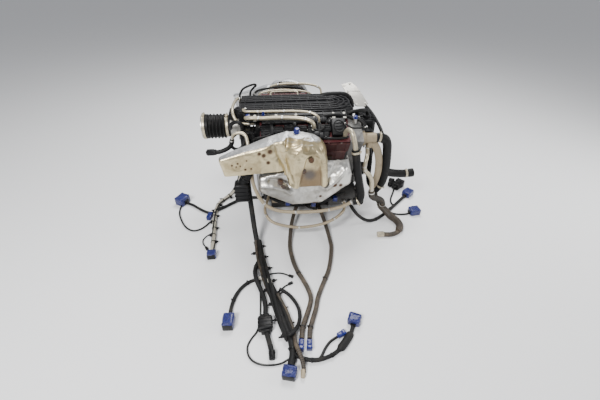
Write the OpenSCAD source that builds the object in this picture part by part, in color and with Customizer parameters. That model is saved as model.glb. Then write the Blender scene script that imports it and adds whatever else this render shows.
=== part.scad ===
// Twin-turbo V engine, complete with its wiring looms and hoses.
// +X is the belt end, +Y the far bank, +Z up. The origin is on the sump's flat base, under the crank.

/* [Cylinders] */
// Angle between the two banks
bank_angle = 60; // [56:1:64]
// Cylinder bore diameter
bore_d = 86; // [71:1:103]
// Distance between neighbouring cylinders
cyl_pitch = 106; // [88:1:128]
// Lengthwise stagger of the two banks
bank_stagger = 18; // [14:1:22]
// Crank throw, half of the stroke
throw = 41; // [34:1:49]
// Height of the crank centre above the sump's base
crank_z = 160; // [155:1:192]

/* [Banks] */
// Crank centre to the deck face
deck_h = 205; // [200:1:212]
// Half width of a block bank
bank_half_w = 62; // [54:1:66]
// Half width of a cylinder head and its cover
head_half_w = 70; // [68:1:74]
// Height of a cylinder head
head_h = 100; // [90:1:106]
// Height of a cam cover
cover_h = 75; // [62:1:80]
// Wall of the cast covers
cover_wall = 4; // [3:0.5:6]
// Block wall beyond the end cylinders
end_wall = 46; // [40:1:56]

/* [Sump] */
// Half width of the sump
sump_half_w = 110; // [92:1:114]
// Wall of the sump
sump_wall = 4; // [3:0.5:6]
// Depth of the sump from its base to its flange
sump_h = 100; // [84:1:104]

/* [Rear end] */
// Radius of the gearbox flange
bell_r = 150; // [146:1:154]
// Bolt circle of the gearbox flange
bell_pcd = 280; // [274:1:286]
// Bolt hole radius of the gearbox flange
bell_hole_r = 5.25; // [4.4:0.05:6.3]
// Flywheel radius
flywheel_r = 130; // [108:1:132]
// Bolt circle of the clutch on the flywheel
clutch_pcd = 200; // [168:1:220]

/* [Belt drive] */
// Depth of the front cover
front_d = 60; // [50:1:72]
// Width of the belt
belt_w = 22; // [18:1:26]
// Thickness of the belt
belt_t = 4; // [3:0.5:5]
// Crank pulley radius
crank_pulley_r = 75; // [62:1:78]
// Water pump pulley radius
pump_pulley_r = 60; // [50:1:66]
// Alternator pulley radius
alt_pulley_r = 30; // [25:1:36]
// Compressor pulley radius
ac_pulley_r = 55; // [46:1:64]
// Tensioner pulley radius
tens_pulley_r = 33; // [28:1:38]

/* [Intake] */
// Half width of the plenum
plenum_half_w = 104; // [88:1:108]
// Height of the plenum
plenum_h = 80; // [66:1:96]
// Throttle bore radius
throttle_r = 38; // [32:1:42]
// Wall of the moulded plenum
plenum_wall = 4; // [3:0.5:6]
// Length of the bellows
bellows_len = 130; // [108:1:156]
// Radius of the bellows' open mouth
bellows_mouth_r = 54; // [46:1:64]

/* [Turbos] */
// Outlet bore radius of a turbine
outlet_r = 25; // [21:1:26]
// Inlet bore radius of a compressor
comp_inlet_r = 24; // [21:1:25]
// Turbo wheel radius
wheel_r = 25; // [21:1:28]
// Turbo shaft radius
shaft_r = 5; // [4:0.5:6]
// Thickness of the heat shields
shield_t = 2; // [1.5:0.5:3]

/* [Fits] */
// Radial clearance of a running fit
run_gap = 0.05; // [0.02:0.01:0.09]
// Clearance between soft or curved neighbours
soft_gap = 0.3; // [0.2:0.05:0.5]

/* [Hidden] */
$fn = 48;

near = -1;
far = 1;
sides = [near, far];
eps = 1;

bank_half = bank_angle / 2;
bore_r = bore_d / 2;
stagger = bank_stagger / 2;
block_front = 1.5 * cyl_pitch + end_wall;
block_rear = -block_front;
head_rear = block_rear + 10;
head_top = deck_h + head_h;
cover_top = head_top + cover_h;
skirt_y = sump_half_w + 8;
skirt_top = crank_z + 5;
waist_y = 85;
front_foot_y = 100;

// Crankshaft
main_r = 30;
pin_r = 26;
web_t = 22;
cheek_t = 18;
bay_r = 95;
bay_len = cyl_pitch - web_t;
nose_r = 13;
seal_r = 24;

// Valve gear
cam_y = 30;
cam_z = head_top + 20;
cam_r = 11;
cam_journal_r = 14;
lobe_r = 14;
lobe_lift = 5;
lobe_nose_r = 9;
tower_t = 16;
tower_h = 38;
sprocket_r = 28;
chain_t = 5;
chain_w = 6;
port_z = deck_h + 48;

// Front end
cover_face = block_front + front_d;
belt_x0 = cover_face + 19;
belt_x1 = belt_x0 + belt_w;
pulley_lip = 1;
pump_at = [0, crank_z + 150];
alt_at = [190, crank_z + 55];
ac_at = [-180, crank_z - 42];
tens_at = [-149, crank_z + 93];
tens_pivot = [-97, crank_z + 154];

// Intake
plenum_z = crank_z + 310;
plenum_top = plenum_z + plenum_h;
plenum_rear = block_rear - 85;
plenum_front = block_front + 35;
intake_y = -45;
intake_z = plenum_z - 8;
throttle_len = 50;
neck_r = throttle_r + 8;
bellows_x = plenum_rear - throttle_len;
bellows_mouth_x = bellows_x - bellows_len;

// Turbos
turbo_y = 322;
turbo_z = crank_z + 272;
turbine_x = -50;
compressor_x = -160;
elbow_r = 34;
log_y = head_half_w + 42;
log_r = 24;
runner_r = 20;
riser_dy = turbo_y - (port_z * sin(bank_half) + log_y * cos(bank_half));
riser_dz = turbo_z - (crank_z + port_z * cos(bank_half) - log_y * sin(bank_half));
riser_len = norm([riser_dy, riser_dz]);
riser_tilt = atan2(riser_dy, riser_dz);
volute_r = 58;
flange_gap = volute_r + 12;

// Places a child drawn about a bank's own axis: local +Z up the bores, local +Y outwards
module on_bank(side) {
    translate([side * stagger, 0, crank_z])
        mirror([0, side < 0 ? 1 : 0, 0])
            rotate([-bank_half, 0, 0])
                children();
}

// Mirrors a child drawn on the far side
module on_side(side) {
    mirror([0, side < 0 ? 1 : 0, 0])
        children();
}

module box(low, high) {
    translate(low)
        cube(high - low);
}

// Round bar along X
module bar_x(r, x0, x1, y = 0, z = 0) {
    translate([x0, y, z])
        rotate([0, 90, 0])
            cylinder(r = r, h = x1 - x0);
}

// Round bar along Y
module bar_y(r, y0, y1, x = 0, z = 0) {
    translate([x, y0, z])
        rotate([-90, 0, 0])
            cylinder(r = r, h = y1 - y0);
}

// --- Swept tubes ---
function unit(v) = v / norm(v);

// Point on the smooth curve through b and c, at share t of the way between them
function curve_point(a, b, c, d, t) =
    0.5 * (2 * b + (c - a) * t + (2 * a - 5 * b + 4 * c - d) * t * t
        + (3 * b - a - 3 * c + d) * t * t * t);

function smooth_path(p, steps) = [
    for (i = [0 : len(p) - 2])
        for (k = [0 : steps - 1])
            curve_point(p[max(i - 1, 0)], p[i], p[i + 1], p[min(i + 2, len(p) - 1)], k / steps),
    p[len(p) - 1]];

function tangents(p) = [
    for (i = [0 : len(p) - 1])
        unit(p[min(i + 1, len(p) - 1)] - p[max(i - 1, 0)])];

// Side vectors carried along the path without twisting
function side_vectors(t, i = 0, last = [0.31, 0.17, 0.93]) =
    i == len(t) ? [] :
    let (s = unit(last - (last * t[i]) * t[i]))
    concat([s], side_vectors(t, i + 1, s));

module swept_tube(points, r, steps = 2, sides = 10) {
    path = smooth_path(points, steps);
    t = tangents(path);
    s = side_vectors(t);
    n = len(path);
    rings = [
        for (i = [0 : n - 1])
            for (k = [0 : sides - 1])
                let (a = 360 * k / sides)
                path[i] + r * (cos(a) * s[i] + sin(a) * cross(t[i], s[i]))];
    walls = [
        for (i = [0 : n - 2])
            for (k = [0 : sides - 1])
                let (j = (k + 1) % sides)
                [i * sides + k, (i + 1) * sides + k, (i + 1) * sides + j, i * sides + j]];
    first_cap = [for (k = [0 : sides - 1]) k];
    last_cap = [for (k = [0 : sides - 1]) n * sides - 1 - k];
    polyhedron(rings, concat(walls, [first_cap, last_cap]), convexity = 8);
}

// --- Outlines across the crank, as [y, z] points ---
// Point of the far bank's section, across it outwards and along its bores from the crank
function bank_point(across, along) =
    [across * cos(bank_half) + along * sin(bank_half),
        crank_z + along * cos(bank_half) - across * sin(bank_half)];

// Height at which the face that far across the bank passes y
function face_z(across, y) =
    crank_z + (y - across * cos(bank_half)) / tan(bank_half) - across * sin(bank_half);

// Closes a half outline with its mirror image, through points on the middle plane
function both_sides(half, middle = []) =
    concat(half, middle, [for (i = [len(half) - 1 : -1 : 0]) [-half[i][0], half[i][1]]]);

module extruded_x(outline, x0, x1) {
    translate([x0, 0, 0])
        rotate([90, 0, 90])
            linear_extrude(x1 - x0)
                polygon(outline);
}

// --- Block and sump ---
module engine_block() {
    color("dimgray")
    difference() {
        union() {
            extruded_x(both_sides([[skirt_y, sump_h], [skirt_y, skirt_top], [waist_y, skirt_top],
                [waist_y, face_z(bank_half_w, waist_y)], bank_point(bank_half_w, deck_h),
                bank_point(-bank_half_w, deck_h)], [[0, face_z(-bank_half_w, 0)]]),
                block_rear, block_front);
            bar_x(bell_r, block_rear, block_rear + 15, z = crank_z);
            for (side = sides)
                on_side(side)
                    box([-60, skirt_y - eps, sump_h + 5], [60, skirt_y + 17, skirt_top]);
        }
        for (i = [-1 : 1]) {
            bar_x(bay_r, i * cyl_pitch - bay_len / 2, i * cyl_pitch + bay_len / 2, z = crank_z);
            box([i * cyl_pitch - bay_len / 2, -bay_r, sump_h - eps],
                [i * cyl_pitch + bay_len / 2, bay_r, crank_z]);
            for (side = sides)
                on_bank(side)
                    translate([i * cyl_pitch, 0, 80])
                        cylinder(r = bore_r, h = deck_h - 80 + eps);
        }
        bar_x(main_r + run_gap, block_rear - eps, block_front + eps, z = crank_z);
        for (k = [0 : 7])
            rotate_about_crank(22.5 + 45 * k)
                bar_x(bell_hole_r, block_rear - eps, block_rear + 15 + eps, z = bell_pcd / 2);
        for (side = sides, x = [-40, 40], z = [-37, 0])
            on_side(side)
                bar_y(5.1, skirt_y - 8, skirt_y + 17 + eps, x = x, z = crank_z + z - 4);
    }
}

module rotate_about_crank(angle) {
    translate([0, 0, crank_z])
        rotate([angle, 0, 0])
            children();
}

module oil_pan() {
    x0 = block_rear + 40;
    x1 = block_front - 10;
    color("silver")
    difference() {
        union() {
            box([x0, -sump_half_w, 0], [x1, sump_half_w, sump_h]);
            box([x0 - 10, -skirt_y, sump_h - 6], [x1 + 10, skirt_y, sump_h]);
            for (i = [-3 : 3])
                box([i * 50 - 2, -sump_half_w - 5, 12], [i * 50 + 2, sump_half_w + 5, sump_h - 6]);
        }
        box([x0 + sump_wall, sump_wall - sump_half_w, sump_wall],
            [x1 - sump_wall, sump_half_w - sump_wall, sump_h + eps]);
    }
}

// --- Heads and covers ---
module cylinder_head(side) {
    x0 = head_rear - side * stagger;
    x1 = block_front - side * stagger;
    on_bank(side)
    difference() {
        union() {
            box([x0, -head_half_w, deck_h], [x1, head_half_w, head_top]);
            for (i = [-1.5 : 1.5], y = [-cam_y, cam_y])
                box([i * cyl_pitch - tower_t / 2, y - 20, head_top - eps],
                    [i * cyl_pitch + tower_t / 2, y + 20, head_top + tower_h]);
        }
        for (i = [-1 : 1])
            translate([i * cyl_pitch, 0, 0]) {
                translate([0, 0, deck_h - eps])
                    cylinder(r = bore_r, h = 8 + eps);
                translate([0, 0, head_top - 55])
                    cylinder(r = 13, h = 55 + eps);
                bar_y(17, -head_half_w - eps, -25, z = port_z + 12);
                bar_y(15, 25, head_half_w + eps, z = port_z);
            }
        for (y = [-cam_y, cam_y])
            bar_x(cam_journal_r + run_gap, x0 - eps, x1 + eps, y = y, z = cam_z);
    }
}

module near_cylinder_head() {
    color("gray")
        cylinder_head(near);
}

module far_cylinder_head() {
    color("gray")
        cylinder_head(far);
}

module cam_cover(side) {
    x0 = head_rear - side * stagger;
    x1 = block_front - side * stagger;
    w = head_half_w;
    on_bank(side)
    difference() {
        union() {
            box([x0, -w, head_top], [x1, w, cover_top - 14]);
            box([x0 + 8, -w + 10, head_top], [x1, w - 10, cover_top]);
            filler_boss(side);
        }
        box([x0 + cover_wall, cover_wall - w, head_top - eps],
            [x1 + eps, w - cover_wall, cover_top - 14 - cover_wall]);
        for (i = [-1 : 1])
            translate([i * cyl_pitch, 0, head_top])
                cylinder(r = 14, h = cover_h + eps);
        if (side == far)
            translate([filler_x, filler_y, head_top])
                cylinder(r = filler_r, h = cover_h + 20);
    }
}

filler_x = 53;
filler_y = 10;
filler_r = 18;
filler_top = cover_top + 14;

module filler_boss(side) {
    if (side == far)
        translate([filler_x, filler_y, cover_top - 20])
            cylinder(r = filler_r + 5, h = 34);
}

module near_cam_cover() {
    color("darkred")
        cam_cover(near);
}

module far_cam_cover() {
    color("darkred")
        cam_cover(far);
}

module oil_filler_cap() {
    color("black")
    on_bank(far)
    translate([filler_x, filler_y, filler_top + soft_gap]) {
        cylinder(r = 26, h = 12);
        translate([0, 0, -14])
            cylinder(r = filler_r - soft_gap, h = 15);
        box([-22, -4, 11], [22, 4, 18]);
    }
}

module front_shape(inset, x0, x1) {
    foot = front_foot_y - inset;
    half_w = head_half_w - inset;
    extruded_x(both_sides([[foot, sump_h + inset], [foot, face_z(half_w, foot)],
        bank_point(half_w, cover_top - inset), bank_point(-half_w, cover_top - inset)],
        [[0, face_z(-half_w, 0)]]), x0, x1);
}

module front_cover() {
    color("lightgray")
    difference() {
        union() {
            front_shape(0, block_front, cover_face);
            bar_x(12, cover_face - eps, cover_face + 4, y = tens_pivot[0], z = tens_pivot[1]);
            bar_x(9, cover_face - eps, cover_face + 17, y = tens_pivot[0], z = tens_pivot[1]);
        }
        front_shape(cover_wall + 1, block_front - eps, cover_face - cover_wall);
        bar_x(seal_r + 0.5, block_front, cover_face + eps, z = crank_z);
    }
}

// --- Crank train ---
module piston() {
    difference() {
        cylinder(r = bore_r - 2 * run_gap, h = 52);
        translate([0, 0, -eps])
            cylinder(r = bore_r - 8, h = 38);
        bar_y(11, -bore_r - eps, bore_r + eps, z = 18);
    }
}

module pistons() {
    color("silver")
    for (side = sides, i = [-1 : 1])
        on_bank(side)
            translate([i * cyl_pitch, 0, 122])
                piston();
}

module crank_cheek(x) {
    translate([x, 0, 0]) {
        bar_x(34, 0, cheek_t);
        bar_x(34, 0, cheek_t, z = throw - 4);
        intersection() {
            bar_x(78, 0, cheek_t);
            box([-eps, -80, -80], [cheek_t + eps, 80, -16]);
        }
    }
}

module crankshaft() {
    color("slategray")
    union() {
        for (i = [-1 : 1])
            rotate_about_crank(120 * i) {
                crank_cheek(i * cyl_pitch - bay_len / 2 + 0.5);
                crank_cheek(i * cyl_pitch + bay_len / 2 - cheek_t - 0.5);
                bar_x(pin_r, i * cyl_pitch - bay_len / 2 + eps, i * cyl_pitch + bay_len / 2 - eps, z = throw);
            }
        for (i = [-0.5 : 0.5])
            bar_x(main_r, i * cyl_pitch - web_t / 2 - eps, i * cyl_pitch + web_t / 2 + eps, z = crank_z);
        bar_x(main_r, block_rear - 2, -cyl_pitch - bay_len / 2 + eps, z = crank_z);
        bar_x(main_r, cyl_pitch + bay_len / 2 - eps, block_front, z = crank_z);
        bar_x(45, block_rear - 8, block_rear - 2, z = crank_z);
        bar_x(sprocket_r / 2, block_front - eps, block_front + 36, z = crank_z);
        bar_x(nose_r, block_front, belt_x1 + 8, z = crank_z);
    }
}

module pulley(at, r, bore, x0, x1) {
    difference() {
        bar_x(r, x0, x1, y = at[0], z = at[1]);
        bar_x(bore, x0 - eps, x1 + eps, y = at[0], z = at[1]);
        difference() {
            bar_x(r - 9, x1 - 9, x1 + eps, y = at[0], z = at[1]);
            bar_x(bore + 8, x1 - 10, x1 + 2 * eps, y = at[0], z = at[1]);
        }
    }
}

module crank_pulley() {
    color("dimgray") {
        pulley([0, crank_z], crank_pulley_r, nose_r, belt_x0 - pulley_lip, belt_x1 + pulley_lip);
        difference() {
            bar_x(seal_r, cover_face - 3, belt_x0, z = crank_z);
            bar_x(nose_r, cover_face - 4, belt_x0 + eps, z = crank_z);
        }
    }
}

module flywheel() {
    x1 = block_rear - 8;
    color("slategray")
    difference() {
        union() {
            bar_x(flywheel_r, x1 - 20, x1 - 4, z = crank_z);
            bar_x(60, x1 - 20, x1, z = crank_z);
        }
        bar_x(18, x1 - 21, x1 + eps, z = crank_z);
        for (k = [0 : 5])
            rotate_about_crank(60 * k)
                bar_x(4.2, x1 - 21, x1 + eps, z = clutch_pcd / 2);
        for (k = [0 : 7])
            rotate_about_crank(45 * k)
                bar_x(5, x1 - 21, x1 + eps, z = 38);
    }
}

module camshaft(side, y, chain_x) {
    x0 = head_rear - side * stagger;
    on_bank(side)
    translate([0, y, cam_z]) {
        bar_x(cam_r, x0 + 8, chain_x - side * stagger);
        for (i = [-1.5 : 1.5])
            bar_x(cam_journal_r, i * cyl_pitch - tower_t / 2 - 1, i * cyl_pitch + tower_t / 2 + 1);
        for (i = [-1 : 1], k = [-1, 1])
            rotate([120 * i + 30, 0, 0]) {
                bar_x(lobe_r, i * cyl_pitch + 24 * k - 7, i * cyl_pitch + 24 * k + 7);
                bar_x(lobe_nose_r, i * cyl_pitch + 24 * k - 7, i * cyl_pitch + 24 * k + 7,
                    z = lobe_r + lobe_lift - lobe_nose_r);
            }
        bar_x(sprocket_r, chain_x - side * stagger, chain_x - side * stagger + chain_w);
    }
}

chain_x_near = block_front + 12;
chain_x_far = block_front + 24;

module near_intake_camshaft() {
    color("slategray")
        camshaft(near, -cam_y, chain_x_near);
}

module near_exhaust_camshaft() {
    color("slategray")
        camshaft(near, cam_y, chain_x_near);
}

module far_intake_camshaft() {
    color("slategray")
        camshaft(far, -cam_y, chain_x_far);
}

module far_exhaust_camshaft() {
    color("slategray")
        camshaft(far, cam_y, chain_x_far);
}

module chain_outline(grow) {
    hull() {
        circle(r = sprocket_r / 2 + grow);
        translate([cam_z, -cam_y])
            circle(r = sprocket_r + grow);
        translate([cam_z, cam_y])
            circle(r = sprocket_r + grow);
    }
}

module timing_chains() {
    color("gray")
    for (side = sides)
        on_bank(side)
            translate([(side == near ? chain_x_near : chain_x_far) - side * stagger, 0, 0])
                rotate([0, -90, 180])
                    linear_extrude(chain_w)
                        difference() {
                            chain_outline(soft_gap + chain_t);
                            chain_outline(soft_gap);
                        }
}

// --- Intake ---
// Points of the inner head face at height z
function head_inner_y(z) =
    ((z - crank_z - head_half_w * sin(bank_half)) * tan(bank_half)) - head_half_w * cos(bank_half);

manifold_z = crank_z + 240;
manifold_mid_z = crank_z + 295;

module intake_manifold() {
    color("dimgray")
    difference() {
        extruded_x(both_sides([[head_inner_y(manifold_z), manifold_z],
            [head_inner_y(manifold_mid_z), manifold_mid_z], [80, plenum_z]]),
            -1.5 * cyl_pitch, 1.5 * cyl_pitch);
        for (side = sides, i = [-1 : 1])
            on_bank(side)
                bar_y(17, -head_half_w - 30, 1 - head_half_w, x = i * cyl_pitch, z = port_z + 12);
        for (i = [-1 : 1])
            translate([i * cyl_pitch, 0, manifold_z + 30])
                cylinder(r = 30, h = plenum_z - manifold_z);
    }
}

module plenum_section(inset, x0, x1) {
    w = plenum_half_w - inset;
    extruded_x(both_sides([[80 - inset, plenum_z + inset], [w, plenum_z + 30],
        [w, plenum_top - 16], [w - 14, plenum_top - inset]]), x0, x1);
}

module intake_plenum() {
    color("black")
    difference() {
        union() {
            plenum_section(4, plenum_rear, plenum_front);
            for (i = [0 : 10])
                plenum_section(0, plenum_rear + 22 + 50 * i, plenum_rear + 28 + 50 * i);
            for (y = [-66, -33, 0, 33, 66])
                box([plenum_rear + 10, y - 8, plenum_top - 5], [plenum_front - 10, y + 8, plenum_top]);
            box([plenum_rear, intake_y - 54, intake_z - 54],
                [plenum_rear + 26, intake_y + 54, plenum_top - 10]);
        }
        plenum_section(4 + plenum_wall, plenum_rear + plenum_wall, plenum_front - plenum_wall);
        bar_x(throttle_r, plenum_rear - eps, plenum_rear + 22, y = intake_y, z = intake_z);
        box([plenum_rear + 8, intake_y - 20, intake_z], [plenum_rear + 22, intake_y + 20, plenum_z + 20]);
        for (i = [-1 : 1])
            translate([i * cyl_pitch, 0, plenum_z - eps])
                cylinder(r = 30, h = 12 + plenum_wall);
    }
}

module throttle_body() {
    x0 = bellows_x;
    color("tan")
    difference() {
        union() {
            bar_x(neck_r, x0 - 22, plenum_rear, y = intake_y, z = intake_z);
            box([plenum_rear - 10, intake_y - 50, intake_z - 50],
                [plenum_rear, intake_y + 50, intake_z + 50]);
            box([x0 + 6, intake_y - 26, intake_z + 20], [x0 + 38, intake_y + 26, intake_z + 72]);
        }
        bar_x(throttle_r, x0 - 23, plenum_rear + eps, y = intake_y, z = intake_z);
        translate([throttle_x, intake_y, intake_z - neck_r - eps])
            cylinder(r = 4 + run_gap, h = neck_r + 50);
    }
}

throttle_x = bellows_x + 22;

module throttle_plate() {
    color("goldenrod") {
        bar_x(throttle_r - 0.2, throttle_x - 1.5, throttle_x + 1.5, y = intake_y, z = intake_z);
        translate([throttle_x, intake_y, intake_z - neck_r + 1])
            cylinder(r = 4, h = neck_r + 45);
    }
}

mouth_depth = 30;
collar_len = 30;
bellows_wall = 4;
rib_step = 13;

// Rubber bellows, drawn as a section about its axis: mouth, ribbed body, collar on the throttle
module inlet_bellows() {
    mouth = bellows_mouth_r;
    body_end = bellows_len - collar_len;
    rib_count = floor((body_end - mouth_depth - 4) / rib_step);
    color([0.1, 0.1, 0.1])
    translate([bellows_mouth_x, intake_y, intake_z])
        rotate([0, 90, 0])
            rotate_extrude($fn = 64)
                difference() {
                    union() {
                        square([mouth + bellows_wall, mouth_depth + bellows_wall]);
                        square([mouth, body_end]);
                        for (k = [0 : rib_count - 1])
                            translate([0, mouth_depth + bellows_wall + 3 + rib_step * k])
                                square([mouth + 5, 7]);
                        square([neck_r + bellows_wall, bellows_len + 4]);
                    }
                    translate([-1, -1])
                        square([mouth + 1, mouth_depth + 1]);
                    translate([-1, mouth_depth - 1])
                        square([mouth - bellows_wall + 1, body_end - mouth_depth - bellows_wall + 1]);
                    translate([-1, mouth_depth])
                        square([neck_r + 1, bellows_len]);
                }
}

module clamp_ring(r, x, y, z) {
    difference() {
        bar_x(r + 2, x, x + 12, y = y, z = z);
        bar_x(r, x - eps, x + 13, y = y, z = z);
    }
    box([x, y - 8, z + r + 1], [x + 12, y + 8, z + r + 8]);
}

module hose_clamps() {
    color("lightgray") {
        clamp_ring(bellows_mouth_r + bellows_wall, bellows_mouth_x + 5, intake_y, intake_z);
        clamp_ring(neck_r + bellows_wall, bellows_x - 18, intake_y, intake_z);
        translate([right_hose_path[10][0] - 30, right_hose_path[10][1], 14])
            rotate([0, 90, 0])
                cylinder(r = 14, h = 30);
    }
}

// --- Exhaust side ---
module exhaust_manifold(side) {
    on_bank(side)
    difference() {
        union() {
            for (i = [-1 : 1]) {
                box([i * cyl_pitch - 36, head_half_w, port_z - 28],
                    [i * cyl_pitch + 36, head_half_w + 10, port_z + 28]);
                bar_y(runner_r, head_half_w + 5, log_y, x = i * cyl_pitch, z = port_z);
            }
            bar_x(log_r, -cyl_pitch - 24, cyl_pitch + 24, y = log_y, z = port_z);
            riser(side, log_r - 2, 0, riser_len - flange_gap);
            riser(side, log_r + 12, riser_len - flange_gap - 10, riser_len - flange_gap);
            shield_posts(side);
        }
        for (i = [-1 : 1])
            bar_y(runner_r - 5, head_half_w - eps, log_y, x = i * cyl_pitch, z = port_z);
        bar_x(log_r - 5, -cyl_pitch - 18, cyl_pitch + 18, y = log_y, z = port_z);
        riser(side, log_r - 8, 0, riser_len - flange_gap + eps);
    }
}

// Round bar from the log towards the turbine's axis, drawn in bank axes
module riser(side, r, from, to) {
    translate([turbine_x - side * stagger, log_y, port_z])
        rotate([bank_half - riser_tilt, 0, 0])
            translate([0, 0, from])
                cylinder(r = r, h = to - from);
}

lower_pad_y = 352;
lower_pad_x = [-105, 120];
lower_pad_drop = 10;

// Posts that the lower heat shield is bolted to, near side only
module shield_posts(side) {
    if (side == near)
        rotate([bank_half, 0, 0])
            for (x = lower_pad_x)
                bar_y(9, log_world_y, lower_pad_y, x = x - side * stagger, z = log_world_z - lower_pad_drop);
}

log_world_y = port_z * sin(bank_half) + log_y * cos(bank_half);
log_world_z = port_z * cos(bank_half) - log_y * sin(bank_half);
lower_pad_z = crank_z + log_world_z - lower_pad_drop;

module near_exhaust_manifold() {
    color("saddlebrown")
        exhaust_manifold(near);
}

module far_exhaust_manifold() {
    color("saddlebrown")
        exhaust_manifold(far);
}

pad_y = turbo_y + 70;
pad_z = turbo_z - 25;
outlet_x = turbine_x + 50 + elbow_r;
outlet_z = crank_z + 52;

module turbine_housing(side) {
    on_side(side)
    difference() {
        union() {
            translate([turbine_x, turbo_y, turbo_z])
                rotate([0, 90, 0])
                    rotate_extrude()
                        translate([36, 0])
                            circle(r = volute_r - 36);
            bar_x(40, turbine_x - 28, turbine_x + 26, y = turbo_y, z = turbo_z);
            bar_x(outlet_r + 4, turbine_x, outlet_x - elbow_r, y = turbo_y, z = turbo_z);
            translate([outlet_x - elbow_r, turbo_y, turbo_z - elbow_r])
                rotate([90, 0, 0])
                    rotate_extrude(angle = 90)
                        translate([elbow_r, 0])
                            circle(r = outlet_r + 4);
            translate([outlet_x, turbo_y, outlet_z])
                cylinder(r = outlet_r + 4, h = turbo_z - elbow_r - outlet_z);
            translate([outlet_x, turbo_y, outlet_z])
                cylinder(r = outlet_r + 16, h = 8);
            translate([turbine_x, turbo_y, turbo_z])
                rotate([180 - riser_tilt, 0, 0]) {
                    cylinder(r = log_r - 2, h = flange_gap);
                    translate([0, 0, flange_gap - 10])
                        cylinder(r = log_r + 12, h = 10);
                }
            bar_y(9, turbo_y + 30, pad_y, x = turbine_x + 30, z = pad_z);
        }
        bar_x(wheel_r + 1, turbine_x - 22, turbine_x + 10, y = turbo_y, z = turbo_z);
        bar_x(14, turbine_x - 30, turbine_x, y = turbo_y, z = turbo_z);
        bar_x(outlet_r, turbine_x - 5, outlet_x - elbow_r, y = turbo_y, z = turbo_z);
        translate([outlet_x - elbow_r, turbo_y, turbo_z - elbow_r])
            rotate([90, 0, 0])
                rotate_extrude(angle = 90)
                    translate([elbow_r, 0])
                        circle(r = outlet_r);
        translate([outlet_x, turbo_y, outlet_z - eps])
            cylinder(r = outlet_r, h = turbo_z - elbow_r - outlet_z + eps);
        translate([turbine_x, turbo_y, turbo_z])
            rotate([180 - riser_tilt, 0, 0])
                cylinder(r = log_r - 8, h = flange_gap + eps);
    }
}

module near_turbine_housing() {
    color("sienna")
        turbine_housing(near);
}

module far_turbine_housing() {
    color("sienna")
        turbine_housing(far);
}

comp_mouth_x = compressor_x - 150;

module compressor_housing(side) {
    on_side(side)
    difference() {
        union() {
            translate([compressor_x, turbo_y, turbo_z])
                rotate([0, 90, 0])
                    rotate_extrude()
                        translate([33, 0])
                            circle(r = 16);
            bar_x(34, compressor_x - 20, compressor_x + 22, y = turbo_y, z = turbo_z);
            bar_x(26, compressor_x + 10, turbine_x - 28, y = turbo_y, z = turbo_z);
            bar_x(comp_inlet_r + 4, comp_mouth_x, compressor_x, y = turbo_y, z = turbo_z);
            translate([compressor_x, turbo_y - 33, turbo_z - 70])
                cylinder(r = 15, h = 70);
        }
        bar_x(wheel_r + 1, compressor_x - 12, compressor_x + 14, y = turbo_y, z = turbo_z);
        bar_x(shaft_r + run_gap, compressor_x, turbine_x - 27, y = turbo_y, z = turbo_z);
        bar_x(comp_inlet_r, comp_mouth_x - eps, compressor_x - 12, y = turbo_y, z = turbo_z);
        translate([compressor_x, turbo_y - 33, turbo_z - 71])
            cylinder(r = 12, h = 60);
    }
}

module near_compressor_housing() {
    color("silver")
        compressor_housing(near);
}

module far_compressor_housing() {
    color("silver")
        compressor_housing(far);
}

module turbo_wheel(x, r_hub, r_tip) {
    bar_x(r_hub, x - 9, x + 9, y = turbo_y, z = turbo_z);
    for (k = [0 : 8])
        translate([x, turbo_y, turbo_z])
            rotate([40 * k, 0, 0])
                box([-8, -1, 0], [8, 1, r_tip]);
}

module turbo_rotor(side) {
    on_side(side) {
        bar_x(shaft_r, compressor_x - 9, turbine_x + 2, y = turbo_y, z = turbo_z);
        turbo_wheel(compressor_x + 3, 9, wheel_r - 0.5);
        turbo_wheel(turbine_x - 8, 9, wheel_r - 0.5);
    }
}

module near_turbo_rotor() {
    color("silver")
        turbo_rotor(near);
}

module far_turbo_rotor() {
    color("silver")
        turbo_rotor(far);
}

// Heat shield over a turbo: a dome over the turbine and a long nose over the compressor's inlet
dome_low_z = turbo_z - 92;
dome_rise = 84;
shield_back_y = turbo_y - 52;

module shield_form(inset) {
    r = 26 - inset;
    hull() {
        for (x = [turbine_x - 38, turbine_x + 98], y = [turbo_y - 20, turbo_y + 46])
            translate([x, y, turbo_z + dome_rise])
                sphere(r = r, $fn = 32);
        for (x = [turbine_x - 38, turbine_x + 98])
            translate([x, turbo_y + 56, dome_low_z - 20])
                sphere(r = r, $fn = 32);
        for (x = [turbine_x - 38, turbine_x + 98])
            translate([x, turbo_y - 20, dome_low_z - 20])
                sphere(r = r, $fn = 32);
    }
    hull() {
        translate([compressor_x - 150, turbo_y + 30, turbo_z + 12])
            sphere(r = r + 2, $fn = 32);
        translate([compressor_x - 150, turbo_y + 38, turbo_z - 34])
            sphere(r = r, $fn = 32);
        translate([turbine_x, turbo_y + 42, turbo_z + 44])
            sphere(r = r + 4, $fn = 32);
        translate([turbine_x, turbo_y + 48, turbo_z - 50])
            sphere(r = r, $fn = 32);
        translate([turbine_x, turbo_y - 40, turbo_z + 44])
            sphere(r = r, $fn = 32);
        translate([compressor_x - 150, turbo_y - 40, turbo_z + 12])
            sphere(r = r, $fn = 32);
    }
}

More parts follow.
